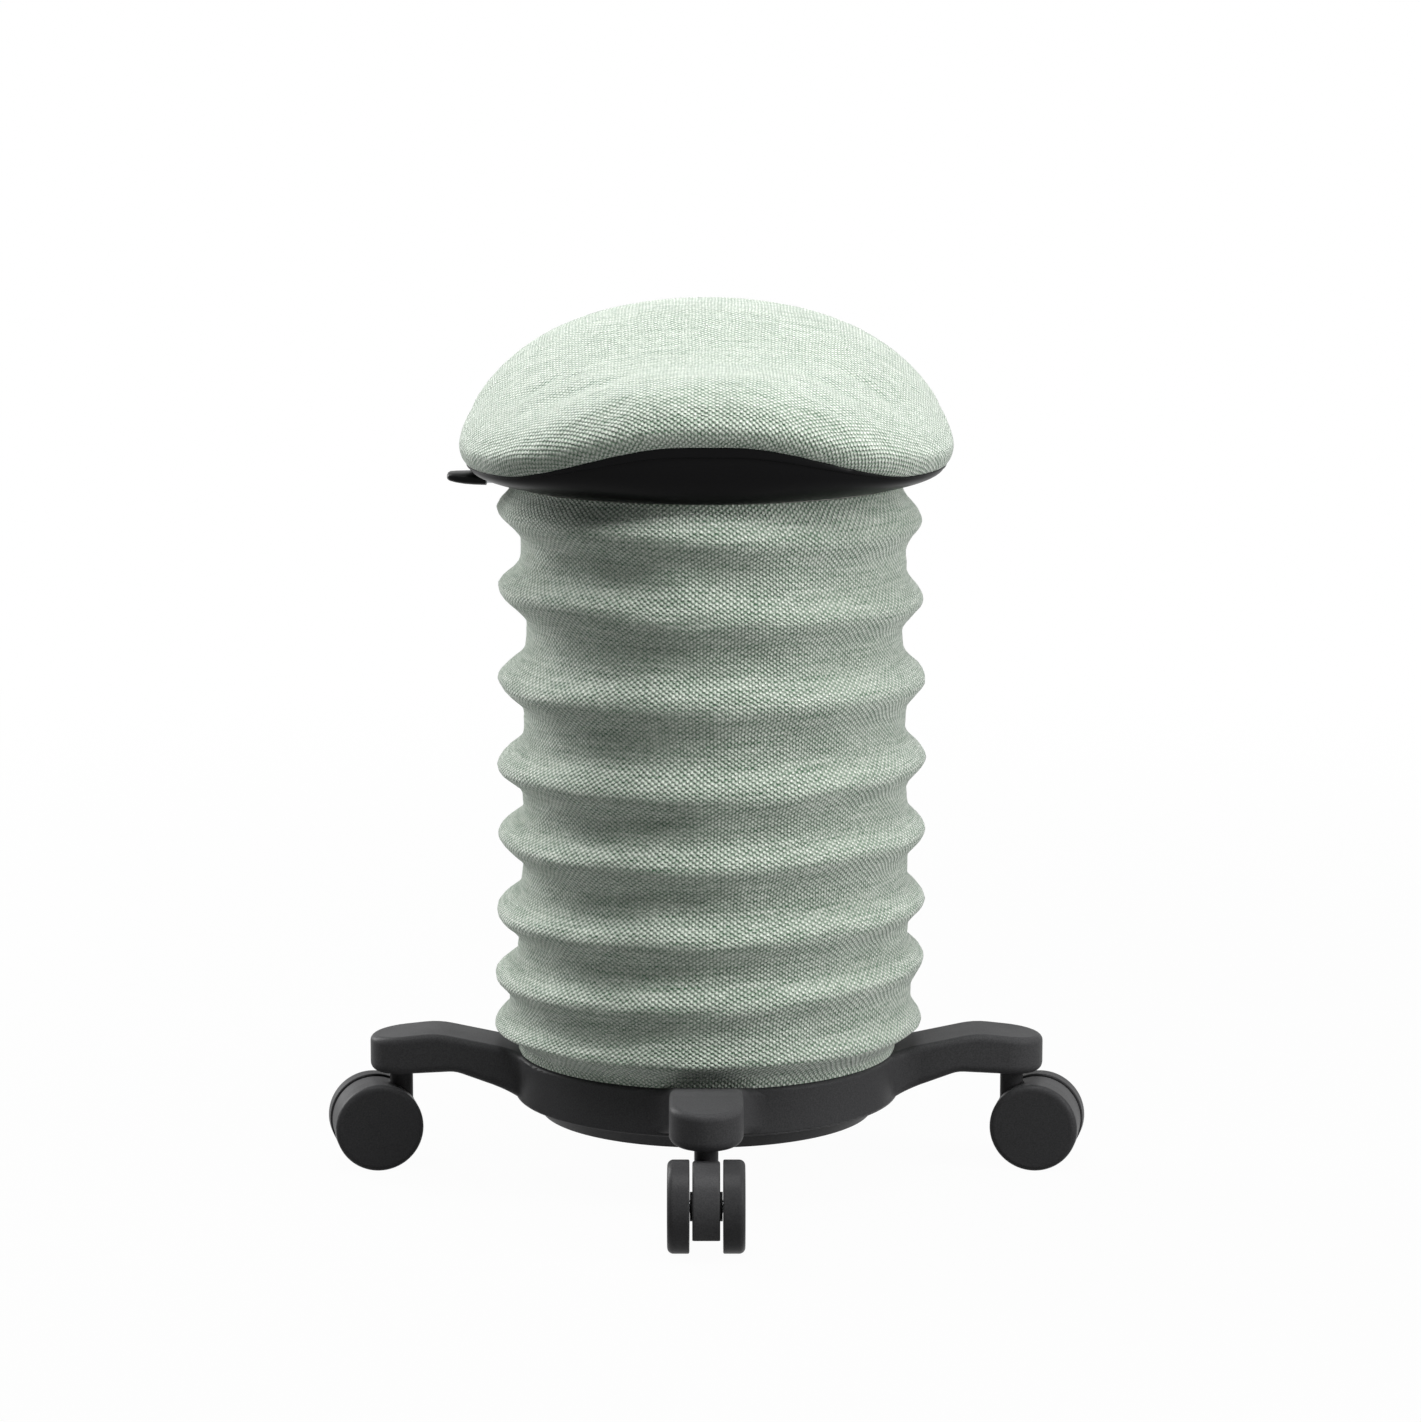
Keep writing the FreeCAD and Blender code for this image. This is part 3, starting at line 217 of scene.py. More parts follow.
def knit_material(name, pale, deep):
    """Melange knit: soft, without gloss, with loops that catch light from above."""
    material, tree, surface = new_material(name)
    weave = add(tree, "ShaderNodeUVMap", uv_map="weave")
    lift = knit_loops(tree, weave)
    stretched = add(tree, "ShaderNodeMapping",
                    {"Vector": weave, "Scale": (1 / STREAK_LONG, 1 / STREAK_TALL, 1.0)})
    streaks = add(tree, NOISE, {"Vector": stretched, "Scale": 1.0, "Detail": 3.0, "Roughness": 0.65})
    fibres = add(tree, NOISE, {"Vector": weave, "Scale": 1 / FIBRE_WIDE, "Detail": 2.0})
    flecks = add(tree, NOISE, {"Vector": weave, "Scale": 1 / FLECK_WIDE, "Detail": 2.0, "Roughness": 0.7})
    streak, fibre, fleck = [
        add(tree, RANGE, {"Value": noise, "From Min": 0.5 - half, "From Max": 0.5 + half})
        for noise, half in ((streaks, 0.14), (fibres, 0.18), (flecks, 0.15))]
    # The lift's weight and offset paint the pits darker: partly green yarn, partly painted shade in the
    # pits.
    mixed = add(tree, MATH, {0: lift, 1: LOOP_TONE_AND_PIT_SHADE, 2: PIT_TONE_AND_SHADE}, operation="MULTIPLY_ADD")
    for tone, amount in ((streak, 0.26), (fibre, 0.28), (fleck, 0.16)):
        mixed = add(tree, MATH, {0: tone, 1: amount, 2: mixed}, operation="MULTIPLY_ADD")
    yarn = add(tree, "ShaderNodeMix", {"Factor": mixed, "A": linear(deep), "B": linear(pale)},
               data_type="RGBA")
    height = add(tree, MATH, {0: fibre, 1: FIBRE_RELIEF, 2: lift}, operation="MULTIPLY_ADD")
    bump = add(tree, "ShaderNodeBump", {"Height": height, "Strength": 1.0, "Distance": LOOP_RELIEF})
    connect(tree, surface, {"Base Color": yarn.outputs[2], "Normal": bump, "Roughness": 0.9,
                            "Specular IOR Level": 0.2, "Sheen Weight": 0.6, "Sheen Roughness": 0.5})
    return material


SAGE_KNIT = knit_material("melange_polyester_knit_sage", "#eef4e9", "#215f35")
print("knit:", SAGE_KNIT.name, "with", len(SAGE_KNIT.node_tree.nodes), "nodes")

# %% [markdown]
# ## Moulded plastics
#
# The shell, the base and the casters are injection moulded. Nylon and polypropylene come out of a
# spark-eroded mould with a fine grain, which spreads the highlights. The real grain is about 0.3 mm, too
# fine to show here, so it is drawn at 0.9 mm. A slow change in roughness stands for the polish that hands
# and shoes give. Both are noises on Object coordinates, which need no map and stay with a piece when it
# moves.

# %% Plastic materials
WORN_PATCH = 45.0 * MM
WORN_GLOSS = 0.05
NOISE_SPREAD = {"From Min": 0.3, "From Max": 0.7}


def grained(name, colour, roughness, specular, grain=0.9 * MM, depth=0.03 * MM):
    """A matt grained skin, with a little dust in its colour and worn patches in its gloss."""
    material, tree, surface = new_material(name)
    place = add(tree, "ShaderNodeTexCoord").outputs["Object"]
    fine = add(tree, NOISE, {"Vector": place, "Scale": 1 / grain, "Detail": 2.0})
    slow = add(tree, NOISE, {"Vector": place, "Scale": 1 / WORN_PATCH, "Detail": 3.0})
    shade = add(tree, RANGE, {"Value": fine, **NOISE_SPREAD, "To Min": 0.82, "To Max": 1.2})
    tint = add(tree, "ShaderNodeMix", {"Factor": 1.0, "A": linear(colour), "B": shade},
               data_type="RGBA", blend_type="MULTIPLY")
    gloss = add(tree, RANGE, {"Value": slow, **NOISE_SPREAD, "To Min": roughness - WORN_GLOSS,
                              "To Max": roughness + WORN_GLOSS})
    bump = add(tree, "ShaderNodeBump", {"Height": fine, "Strength": 0.6, "Distance": depth})
    connect(tree, surface, {"Base Color": tint.outputs[2], "Roughness": gloss, "Normal": bump,
                            "Specular IOR Level": specular})
    return material


SHELL_PLASTIC = grained("moulded_polypropylene_black", "#0c0c0d", 0.34, 0.07)
BASE_PLASTIC = grained("glass_filled_nylon_charcoal", "#3e3e3f", 0.42, 0.03)
CASTER_PLASTIC = grained("moulded_nylon_caster_hood", "#3e3e3f", 0.42, 0.05)
WHEEL_PLASTIC = grained("moulded_nylon_caster_wheel", "#363637", 0.4, 0.05)
BUSH_PLASTIC = grained("natural_acetal_bush", "#b9b8b2", 0.4, 0.5)
print("materials with the plastics:", len(bpy.data.materials))

# %% [markdown]
# ## Steel, plywood and foam
#
# Most of these pieces are inside and show only when the stool is taken apart, so each gets a simple
# honest finish: turned steel with fine rings of brushing, black powder coat with its slight orange peel,
# birch plywood with grain along X, and open foam with pores. Coat and foam are grained skins too, only
# coarser.

# %% Metal, wood and foam materials
BRUSH_LONG = 6.0 * MM
BRUSH_FINE = 0.5 * MM
WOOD_LONG = 90.0 * MM
WOOD_WIDE = 4.0 * MM
WOOD_PLY = 1.4 * MM


def turned_steel(name, colour):
    """Bare turned steel: metallic, with brushing that breaks the highlights up."""
    material, tree, surface = new_material(name)
    place = add(tree, "ShaderNodeTexCoord").outputs["Object"]
    drawn = add(tree, "ShaderNodeMapping",
                {"Vector": place, "Scale": (1 / BRUSH_LONG, 1 / BRUSH_LONG, 1 / BRUSH_FINE)})
    brush = add(tree, NOISE, {"Vector": drawn, "Scale": 1.0, "Detail": 3.0})
    gloss = add(tree, RANGE, {"Value": brush, **NOISE_SPREAD, "To Min": 0.22, "To Max": 0.42})
    connect(tree, surface, {"Base Color": linear(colour), "Metallic": 1.0, "Roughness": gloss})
    return material


def birch_plywood(name, pale, dark):
    """Raw birch: pale, with streaks of late wood along the grain."""
    material, tree, surface = new_material(name)
    place = add(tree, "ShaderNodeTexCoord").outputs["Object"]
    drawn = add(tree, "ShaderNodeMapping",
                {"Vector": place, "Scale": (1 / WOOD_LONG, 1 / WOOD_WIDE, 1 / WOOD_PLY)})
    grain = add(tree, NOISE, {"Vector": drawn, "Scale": 1.0, "Detail": 4.0})
    wood = add(tree, "ShaderNodeMix", {"Factor": grain, "A": linear(dark), "B": linear(pale)},
               data_type="RGBA")
    connect(tree, surface, {"Base Color": wood.outputs[2], "Roughness": 0.7})
    return material


STEEL = turned_steel("turned_steel", "#b4b5b8")
COATED_STEEL = grained("powder_coated_steel_black", "#1a1a1b", 0.4, 0.5, grain=1.6 * MM, depth=0.06 * MM)
PLYWOOD = birch_plywood("birch_plywood", "#d9bd92", "#b08a58")
FOAM = grained("open_cell_foam_cream", "#e2d9b4", 0.95, 0.1, grain=1.2 * MM, depth=0.4 * MM)
print("materials so far:", len(bpy.data.materials))

# %% [markdown]
# ## Dress the solid pieces
#
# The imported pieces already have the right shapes, so they keep their meshes and only change their finish.
# The record says which slot each piece uses, and a table turns slots into the materials above.

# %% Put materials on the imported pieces
FINISHES = {"sage_fabric": SAGE_KNIT, "cushion_foam": FOAM, "shell_plastic": SHELL_PLASTIC,
            "base_plastic": BASE_PLASTIC, "caster_plastic": CASTER_PLASTIC, "wheel_plastic": WHEEL_PLASTIC,
            "bush_plastic": BUSH_PLASTIC, "steel": STEEL, "black_steel": COATED_STEEL, "plywood": PLYWOOD}
for part in frame["record"]["subparts"]:
    piece = nodes[part["node"]]
    piece.data.materials.clear()
    piece.data.materials.append(FINISHES[part["material_slot"]])

# %% [markdown]
# ## The sleeve
#
# A tube of the same knit hides the gas lift. Eight wire hoops hold it open, and between the hoops the
# cloth falls inwards, so the outline is a row of rounded crests with wider hollows between them. The
# hoops hang a little askew and sit closer together towards the floor. Spinning one outline would be
# quick, but every fold would be level and alike all round. A shape that follows a rule suits Geometry
# Nodes: a flat grid is rolled up, and each row finds its fold, its height, its tilt and its radius. All
# sizes are in millimetres, and each end of the sleeve has a radius and a height.

# %% Fold sizes
CREST_HEIGHTS = [101, 140, 182, 233, 281, 338, 396, 448]
CREST_TILTS = [-1.4, -13.0, -9.0, -4.0, -3.4, -1.4, 9.0, 9.0]
CREST_RADII = [145.5, 146.0, 145.5, 145.0, 145.0, 144.5, 143.5, 143.0]
CREST_SHIFTS = [1.0, 2.0, 3.0, 3.5, 3.5, 3.5, 3.0, 2.0]
HOLLOW_DEPTHS = [9, 13, 15, 15, 16, 17, 14]
HEM_DEPTH = 5.0
SLEEVE_LOW = (128.6, 82.4)
SLEEVE_HIGH = (131.0, 469.7)

heights = [SLEEVE_LOW[1]] + CREST_HEIGHTS + [SLEEVE_HIGH[1]]
tilts = [0.0] + CREST_TILTS + [0.0]
radii = [SLEEVE_LOW[0]] + CREST_RADII + [SLEEVE_HIGH[0]]
shifts = [0.0] + CREST_SHIFTS + [0.0]
depths = [HEM_DEPTH] + HOLLOW_DEPTHS + [0.0]
SPANS = len(heights) - 1
print("sleeve spans:", SPANS)

# %% [markdown]
# The tree's inputs are what a maker would change: how fine the grid is, how narrow the crests are, how
# much blunter, flatter and less even the folds run in front, and how far the cloth ripples and sways.

# %% Sleeve inputs
STEPS_AROUND = 240
STEPS_PER_FOLD = 22
SLEEVE_INPUTS = (("Steps around", "NodeSocketInt", STEPS_AROUND),
                 ("Steps up", "NodeSocketInt", SPANS * STEPS_PER_FOLD),
                 ("Crest sharpness", "NodeSocketFloat", 1.9),
                 ("Softer front", "NodeSocketFloat", -0.7),
                 ("Flatter front", "NodeSocketFloat", -0.46),
                 ("Uneven front", "NodeSocketFloat", 1.1),
                 ("Ripple", "NodeSocketFloat", 2.4 * MM),
                 ("Sway", "NodeSocketFloat", 3.5 * MM),
                 ("Seed", "NodeSocketFloat", 4.0),
                 ("Cloth", "NodeSocketMaterial", SAGE_KNIT))
bellows = bpy.data.node_groups.new("bellows_sleeve", "GeometryNodeTree")
sleeve_settings = {}
for label, kind, value in SLEEVE_INPUTS:
    socket = bellows.interface.new_socket(label, in_out="INPUT", socket_type=kind)
    sleeve_settings[socket.identifier] = value
bellows.interface.new_socket("Geometry", in_out="OUTPUT", socket_type="NodeSocketGeometry")
given = add(bellows, "NodeGroupInput").outputs
print("sleeve inputs:", len(sleeve_settings))

# %% [markdown]
# The grid's X becomes the way round, starting at the back, where the seam is. Its Y becomes the way up,
# counted in spans from one crest to the next. The small nudge keeps a row that lies on a crest in the
# upper span.

# %% Rolled grid
NUDGE = 1e-4
columns = add(bellows, MATH, {0: given["Steps around"], 1: 1}, operation="ADD")
rows_up = add(bellows, MATH, {0: given["Steps up"], 1: 1}, operation="ADD")
grid = add(bellows, "GeometryNodeMeshGrid",
           {"Size X": 1.0, "Size Y": 1.0, "Vertices X": columns, "Vertices Y": rows_up})
place = add(bellows, SPLIT, {0: add(bellows, "GeometryNodeInputPosition")})
around = add(bellows, MATH, {0: place.outputs[0], 1: 0.5}, operation="ADD")
angle = add(bellows, MATH, {0: around, 1: 2 * math.pi, 2: math.pi / 2}, operation="MULTIPLY_ADD")
east = add(bellows, MATH, {0: angle}, operation="COSINE")
north = add(bellows, MATH, {0: angle}, operation="SINE")
up = add(bellows, RANGE, {"Value": place.outputs[1], "From Min": -0.5, "From Max": 0.5, "To Max": SPANS})
nudged = add(bellows, MATH, {0: up, 1: NUDGE}, operation="ADD")
counted = add(bellows, MATH, {0: nudged}, operation="FLOOR")
span = add(bellows, MATH, {0: counted, 1: SPANS - 1}, operation="MINIMUM")
next_span = add(bellows, MATH, {0: span, 1: 1}, operation="ADD")
share = add(bellows, MATH, {0: up, 1: span}, operation="SUBTRACT")
print("nodes for the grid:", len(bellows.nodes))

# %% [markdown]
# Index Switch nodes hold the tables of sizes. Each is read at the crest below and at the crest above, and
# a Map Range node goes from one to the other. The radius leaves and arrives softly, so that the crests
# stay round.

# %% Fold tables
FOLD_TABLES = (("low height", heights, span), ("high height", heights, next_span),
               ("low tilt", tilts, span), ("high tilt", tilts, next_span),
               ("low shift", shifts, span), ("high shift", shifts, next_span),
               ("low radius", radii, span), ("high radius", radii, next_span),
               ("depth", depths, span))
picked = {}
for label, values, index in FOLD_TABLES:
    table = add(bellows, "GeometryNodeIndexSwitch", data_type="FLOAT")
    while len(table.index_switch_items) < len(values):
        table.index_switch_items.new()
    connect(bellows, table, {0: index})
    connect(bellows, table, {slot: value * MM for slot, value in enumerate(values, start=1)})
    picked[label] = table
level, tilt, aside, reach = [
    add(bellows, RANGE,
        {"Value": share, "To Min": picked["low " + label], "To Max": picked["high " + label]},
        interpolation_type=way)
    for label, way in (("height", "LINEAR"), ("tilt", "LINEAR"), ("shift", "LINEAR"),
                       ("radius", "SMOOTHSTEP"))]
print("fold tables:", len(picked))

# %% [markdown]
# A cosine makes the fold: 1 on the crests and 0 halfway between them, and a power narrows the crests. The
# folds run blunter and shallower in the middle of the front and the back than at the sides, and a little
# deeper on the left. Noises of three sizes make them uneven, let them sway up and down, and add ripples.
# Sway and ripples fade out at both ends, where the cloth is held.

# %% Folds
LEFT_DEEPER = -0.14
turned = add(bellows, MATH, {0: share, 1: 2 * math.pi}, operation="MULTIPLY")
wave = add(bellows, MATH, {0: turned}, operation="COSINE")
raised = add(bellows, MATH, {0: wave, 1: 0.5, 2: 0.5}, operation="MULTIPLY_ADD")
facing = add(bellows, MATH, {0: north, 1: north}, operation="MULTIPLY")
sharpness = add(bellows, MATH, {0: facing, 1: given["Softer front"], 2: given["Crest sharpness"]},
                operation="MULTIPLY_ADD")
crest = add(bellows, MATH, {0: raised, 1: sharpness}, operation="POWER")
fallen = add(bellows, MATH, {0: 1.0, 1: crest}, operation="SUBTRACT")
hollow = add(bellows, MATH, {0: picked["depth"], 1: fallen}, operation="MULTIPLY")
by_side = add(bellows, MATH, {0: east, 1: LEFT_DEEPER, 2: 1.0}, operation="MULTIPLY_ADD")
print("nodes with the folds:", len(bellows.nodes))

# %% Drape
BELT_RISE = 9.0
RIPPLE_ROUND = 2.2
RIPPLE_RISE = 75.0
RIPPLE_SLANT = -0.03
SEED_STEP = 7.0
END_CALM = 0.5
belt_rise = add(bellows, MATH, {0: level, 1: BELT_RISE}, operation="MULTIPLY")
belt = add(bellows, JOIN, {0: east, 1: north, 2: belt_rise})
slanted = add(bellows, MATH, {0: east, 1: RIPPLE_SLANT, 2: level}, operation="MULTIPLY_ADD")
ripple_east = add(bellows, MATH, {0: east, 1: RIPPLE_ROUND}, operation="MULTIPLY")
ripple_north = add(bellows, MATH, {0: north, 1: RIPPLE_ROUND}, operation="MULTIPLY")
ripple_rise = add(bellows, MATH, {0: slanted, 1: RIPPLE_RISE}, operation="MULTIPLY")
ripple_belt = add(bellows, JOIN, {0: ripple_east, 1: ripple_north, 2: ripple_rise})
other_seed = add(bellows, MATH, {0: given["Seed"], 1: SEED_STEP}, operation="ADD")
drape = []
for where, seed, scale, detail in ((belt, other_seed, 1.6, 1.0), (belt, given["Seed"], 1.1, 1.0),
                                   (ripple_belt, given["Seed"], 1.0, 2.0)):
    noise = add(bellows, NOISE, {"Vector": where, "W": seed, "Scale": scale, "Detail": detail},
                noise_dimensions="4D")
    drape.append(add(bellows, MATH, {0: noise, 1: 0.5}, operation="SUBTRACT"))
uneven, sway, ripple = drape
spans_above = add(bellows, MATH, {0: SPANS, 1: up}, operation="SUBTRACT")
from_end = add(bellows, MATH, {0: up, 1: spans_above}, operation="MINIMUM")
fade = add(bellows, RANGE, {"Value": from_end, "From Max": END_CALM, "To Max": 2.0})
swayed = add(bellows, MATH, {0: sway, 1: fade}, operation="MULTIPLY")
rippled = add(bellows, MATH, {0: ripple, 1: fade}, operation="MULTIPLY")
print("nodes with the drape:", len(bellows.nodes))

# %% [markdown]
# Now each point gets its radius, its tilt and its place. The "weave" map counts loops round the tube and
# cloth up it, and the seam is merged. A tilt is the difference between left and right, so each side takes
# half of it.

# %% Sewn tube
LOOPS_AROUND = 194
CLOTH_PER_HEIGHT = 1.15
SEAM_GAP = 0.05 * MM
flatness = add(bellows, MATH, {0: uneven, 1: given["Uneven front"], 2: given["Flatter front"]},
               operation="MULTIPLY_ADD")
fullness = add(bellows, MATH, {0: facing, 1: flatness, 2: by_side}, operation="MULTIPLY_ADD")
inwards = add(bellows, MATH, {0: hollow, 1: fullness}, operation="MULTIPLY")
folded = add(bellows, MATH, {0: reach, 1: inwards}, operation="SUBTRACT")
radius = add(bellows, MATH, {0: rippled, 1: given["Ripple"], 2: folded}, operation="MULTIPLY_ADD")
half_east = add(bellows, MATH, {0: east, 1: -0.5}, operation="MULTIPLY")
leaning = add(bellows, MATH, {0: tilt, 1: half_east}, operation="MULTIPLY")
lifted = add(bellows, MATH, {0: swayed, 1: given["Sway"], 2: leaning}, operation="MULTIPLY_ADD")
spot_x = add(bellows, MATH, {0: radius, 1: east, 2: aside}, operation="MULTIPLY_ADD")
spot_y = add(bellows, MATH, {0: radius, 1: north}, operation="MULTIPLY")
spot_z = add(bellows, MATH, {0: level, 1: lifted}, operation="ADD")
spot = add(bellows, JOIN, {0: spot_x, 1: spot_y, 2: spot_z})
thread_round = add(bellows, MATH, {0: around, 1: LOOPS_AROUND * LOOP_WIDE}, operation="MULTIPLY")
thread_up = add(bellows, MATH, {0: level, 1: CLOTH_PER_HEIGHT}, operation="MULTIPLY")
thread = add(bellows, JOIN, {0: thread_round, 1: thread_up})
mapped = add(bellows, "GeometryNodeStoreNamedAttribute",
             {"Geometry": grid, "Name": "weave", "Value": thread}, data_type="FLOAT2", domain="CORNER")
rolled = add(bellows, "GeometryNodeSetPosition", {"Geometry": mapped, "Position": spot})
sewn = add(bellows, "GeometryNodeMergeByDistance", {"Geometry": rolled, "Distance": SEAM_GAP})
whole = add(bellows, "GeometryNodeRealizeInstances", {"Geometry": sewn})
soft = add(bellows, "GeometryNodeSetShadeSmooth", {"Geometry": whole})
dyed = add(bellows, "GeometryNodeSetMaterial", {"Geometry": soft, "Material": given["Cloth"]})
add(bellows, "NodeGroupOutput", {"Geometry": dyed})
print("nodes in the sleeve's tree:", len(bellows.nodes))

# %% [markdown]
# The tree runs once, on an empty object with its inputs set. What comes out is kept as a plain mesh,
# because the frame takes no live trees.

# %% Grow the sleeve
def grown(name, tree, settings):
    """Run a geometry tree with its inputs set, and keep the result as a plain mesh object."""
    holder = mesh_object(name + "_seed", [], [])
    modifier = holder.modifiers.new("tree", "NODES")
    modifier.node_group = tree
    for identifier, value in settings.items():
        modifier[identifier] = value
    made = placed(name, evaluated_mesh(holder))
    holder.modifiers.remove(modifier)
    bpy.data.objects.remove(holder)
    return made


sleeve = grown("sleeve_knit", bellows, sleeve_settings)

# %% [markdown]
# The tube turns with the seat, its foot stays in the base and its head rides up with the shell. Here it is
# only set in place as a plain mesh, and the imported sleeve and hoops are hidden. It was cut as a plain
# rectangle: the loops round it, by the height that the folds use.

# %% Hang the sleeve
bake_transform(sleeve)
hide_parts("sleeve", "sleeve_hoops")

# %% [markdown]
# ## The saddle cushion
#
# The cushion is foam under a tight cover. Its plan is a rounded square, its rim rises at the front and
# the back, its top is crowned from side to side and climbs towards the back. The form is written down as
# rows of points, with a crown a little lower than the real one, and a short cloth simulation blows it up,
# which gives the even tension of a stuffed cover that formulas lack. The edge is held, because the cover
# is pulled tight over it. These sizes are in millimetres too, and turns are in degrees.

# %% Saddle form
HALF_WIDE = 160.5
HALF_DEEP = 150.0
PLAN_POWER = 2.5
FLOOR_OF_SHELL = 470.0
RIM_LOW = 15.0
RIM_RISE_FRONT = 24.0
RIM_RISE_BACK = 30.0
RIM_TURN = 36.0
RIM_TURN_SPAN = 48.0
BULGE = 5.5
BULGE_HEIGHT = 13.0
TOP_FRONT = 83.0
TOP_CLIMB = 37.0
CLIMB_START = -100.0
CLIMB_LONG = 180.0
SIDE_FALL = 33.0


def turns(count):
    return [2 * math.pi * i / count for i in range(count)]


def pressed(wave, power):
    """A sine or cosine raised to a power, with its sign kept."""
    return math.copysign(abs(wave) ** power, wave)


def plan(angle, outset, share=1.0):
    """A point of the seat's plan: a circle pressed towards a square, in millimetres."""
    x = pressed(math.cos(angle), 2 / PLAN_POWER) * (HALF_WIDE + outset) * share
    y = pressed(math.sin(angle), 2 / PLAN_POWER) * (HALF_DEEP + outset) * share
    return x, y


def eased(share):
    """A share from 0 to 1 that leaves and arrives softly."""
    share = min(1.0, max(0.0, share))
    return share * share * (3 - 2 * share)


def rim_share(x, y):
    """How far the rim has risen: 0 at the sides, 1 in the middle of the front and the back."""
    turn = math.degrees(math.atan2(abs(y), abs(x)))
    return eased((turn - RIM_TURN) / RIM_TURN_SPAN)


def rim_height(x, y):
    rise = RIM_RISE_FRONT if y < 0 else RIM_RISE_BACK
    return FLOOR_OF_SHELL + RIM_LOW + rise * rim_share(x, y)


def saddle_top(x, y):
    """The crown's height: a ramp from the low front to the high back, falling to both sides."""
    climb = TOP_CLIMB * eased((y - CLIMB_START) / CLIMB_LONG)
    return FLOOR_OF_SHELL + TOP_FRONT + climb - SIDE_FALL * (x / (HALF_WIDE + BULGE)) ** 2


print("seat plan", 2 * (HALF_WIDE + BULGE), "by", 2 * (HALF_DEEP + BULGE), "mm")

# %% Cushion rows
CUSHION_AROUND = 144
EDGE_ROWS = ((-30.0, 4.0), (-17.0, 3.5), (-6.0, -1.5), (-3.5, -2.5), (0.5, -0.3), (2.8, 3.2), (4.6, 7.5),
             (BULGE, BULGE_HEIGHT))
CROWN_SHARES = (0.985, 0.96, 0.92, 0.87, 0.8, 0.71, 0.6, 0.47, 0.33, 0.18, 0.02)
CROWN_POWER = 5
SLACK = 3.0


def cushion_rows(slack):
    """Rows from the edge of the underside, out round the bulge and up to a crown lowered by the slack."""
    rows = []
    for outset, lift in EDGE_ROWS:
        row = [plan(angle, outset) for angle in turns(CUSHION_AROUND)]
        rows.append([(x, y, rim_height(x, y) + lift) for x, y in row])
    for share in CROWN_SHARES:
        swell = math.sqrt(1 - share ** CROWN_POWER)
        lowered = slack * (1 - share ** 2)
        row = []
        for angle in turns(CUSHION_AROUND):
            x, y = plan(angle, BULGE, share)
            low = rim_height(*plan(angle, BULGE)) + BULGE_HEIGHT
            row.append((x, y, low + (saddle_top(x, y) - low) * swell - lowered))
        rows.append(row)
    return rows


def row_quads(rows, around, wrap=False):
    """Faces between rows of points, and with wrap also from the last row back to the first."""
    faces = []
    for r in range(rows if wrap else rows - 1):
        s = (r + 1) % rows
        for i in range(around):
            j = (i + 1) % around
            faces.append((r * around + i, r * around + j, s * around + j, s * around + i))
    return faces


def closed_rows(name, rows):
    """A closed skin through rows of points, with a fan at each end."""
    around = len(rows[0])
    points = [p for row in rows for p in row]
    faces = row_quads(len(rows), around)
    for row, flip in ((0, True), (len(rows) - 1, False)):
        ring = [row * around + i for i in range(around)]
        middle = len(points)
        points.append(tuple(np.mean([points[i] for i in ring], axis=0)))
        for i in range(around):
            pair = (ring[i], ring[(i + 1) % around])
            faces.append((pair[1], pair[0], middle) if flip else (pair[0], pair[1], middle))
    return mesh_object(name, [np.array(p) * MM for p in points], faces)


cushion = closed_rows("seat_cushion", cushion_rows(SLACK))
print("cushion form:", len(cushion.data.polygons), "faces")

# %% [markdown]
# Air pressure swells the form while the edge below the bulge is held. An even mesh of small squares comes
# first, so that the cloth stretches alike everywhere, and no point may move further than the slack.

# %% Blow the cushion up
AIR_PRESSURE = 4.0
AIR_FRAMES = 20
CLOTH_STEPS = 6
CLOTH_GRID = 4.5 * MM


def positions(mesh):
    flat = np.empty(len(mesh.vertices) * 3)
    mesh.vertices.foreach_get("co", flat)
    return flat.reshape(-1, 3)


def stuffed(piece, cap):
    """Swell a closed form with its edge held, by no more than the cap, and tell how far it wanted to go."""
    remesh = piece.modifiers.new("even", "REMESH")
    remesh.mode = "VOXEL"
    remesh.voxel_size = CLOTH_GRID
    apply_modifiers(piece)
    before = positions(piece.data)
    rims = np.array([rim_height(x, y) for x, y in before[:, :2] / MM])
    held = piece.vertex_groups.new(name="held")
    held.add([int(i) for i in np.where(before[:, 2] / MM < rims + BULGE_HEIGHT)[0]], 1.0, "REPLACE")
    cloth = piece.modifiers.new("air", "CLOTH")
    cloth.settings.use_pressure = True
    cloth.settings.uniform_pressure_force = AIR_PRESSURE
    cloth.settings.vertex_group_mass = "held"
    cloth.settings.effector_weights.gravity = 0.0
    cloth.settings.quality = CLOTH_STEPS
    cloth.point_cache.frame_start = 1
    cloth.point_cache.frame_end = AIR_FRAMES
    for step in range(1, AIR_FRAMES + 1):
        bpy.context.scene.frame_set(step)
    apply_modifiers(piece)
    move = positions(piece.data) - before
    length = np.linalg.norm(move, axis=1, keepdims=True)
    after = before + move * np.minimum(1.0, cap / np.maximum(length, 1e-9))
    piece.data.vertices.foreach_set("co", after.ravel())
    bpy.context.scene.frame_set(1)
    return float(length.max())


swelled = stuffed(cushion, SLACK * MM)
print("cushion swelled by up to", round(swelled / MM, 1), "mm")
finer = cushion.modifiers.new("finer", "SUBSURF")
finer.levels = 1
finer.render_levels = 1
apply_modifiers(cushion)
print("cushion:", len(cushion.data.polygons), "faces")

# %% [markdown]
# The cover is stretched over the form in one piece, so its rows of loops run from side to side over the
# top and straight on down the front. The map follows that: going out from the crown along the rows of the
# form, it adds up the length of cloth, sideways at the sides and lengthwise at the front and the back.
# Swelling changed the mesh, so each point of the cushion takes the map from the nearest point of the
# form.

# %% Map the cover
MAP_POWER = 1.25


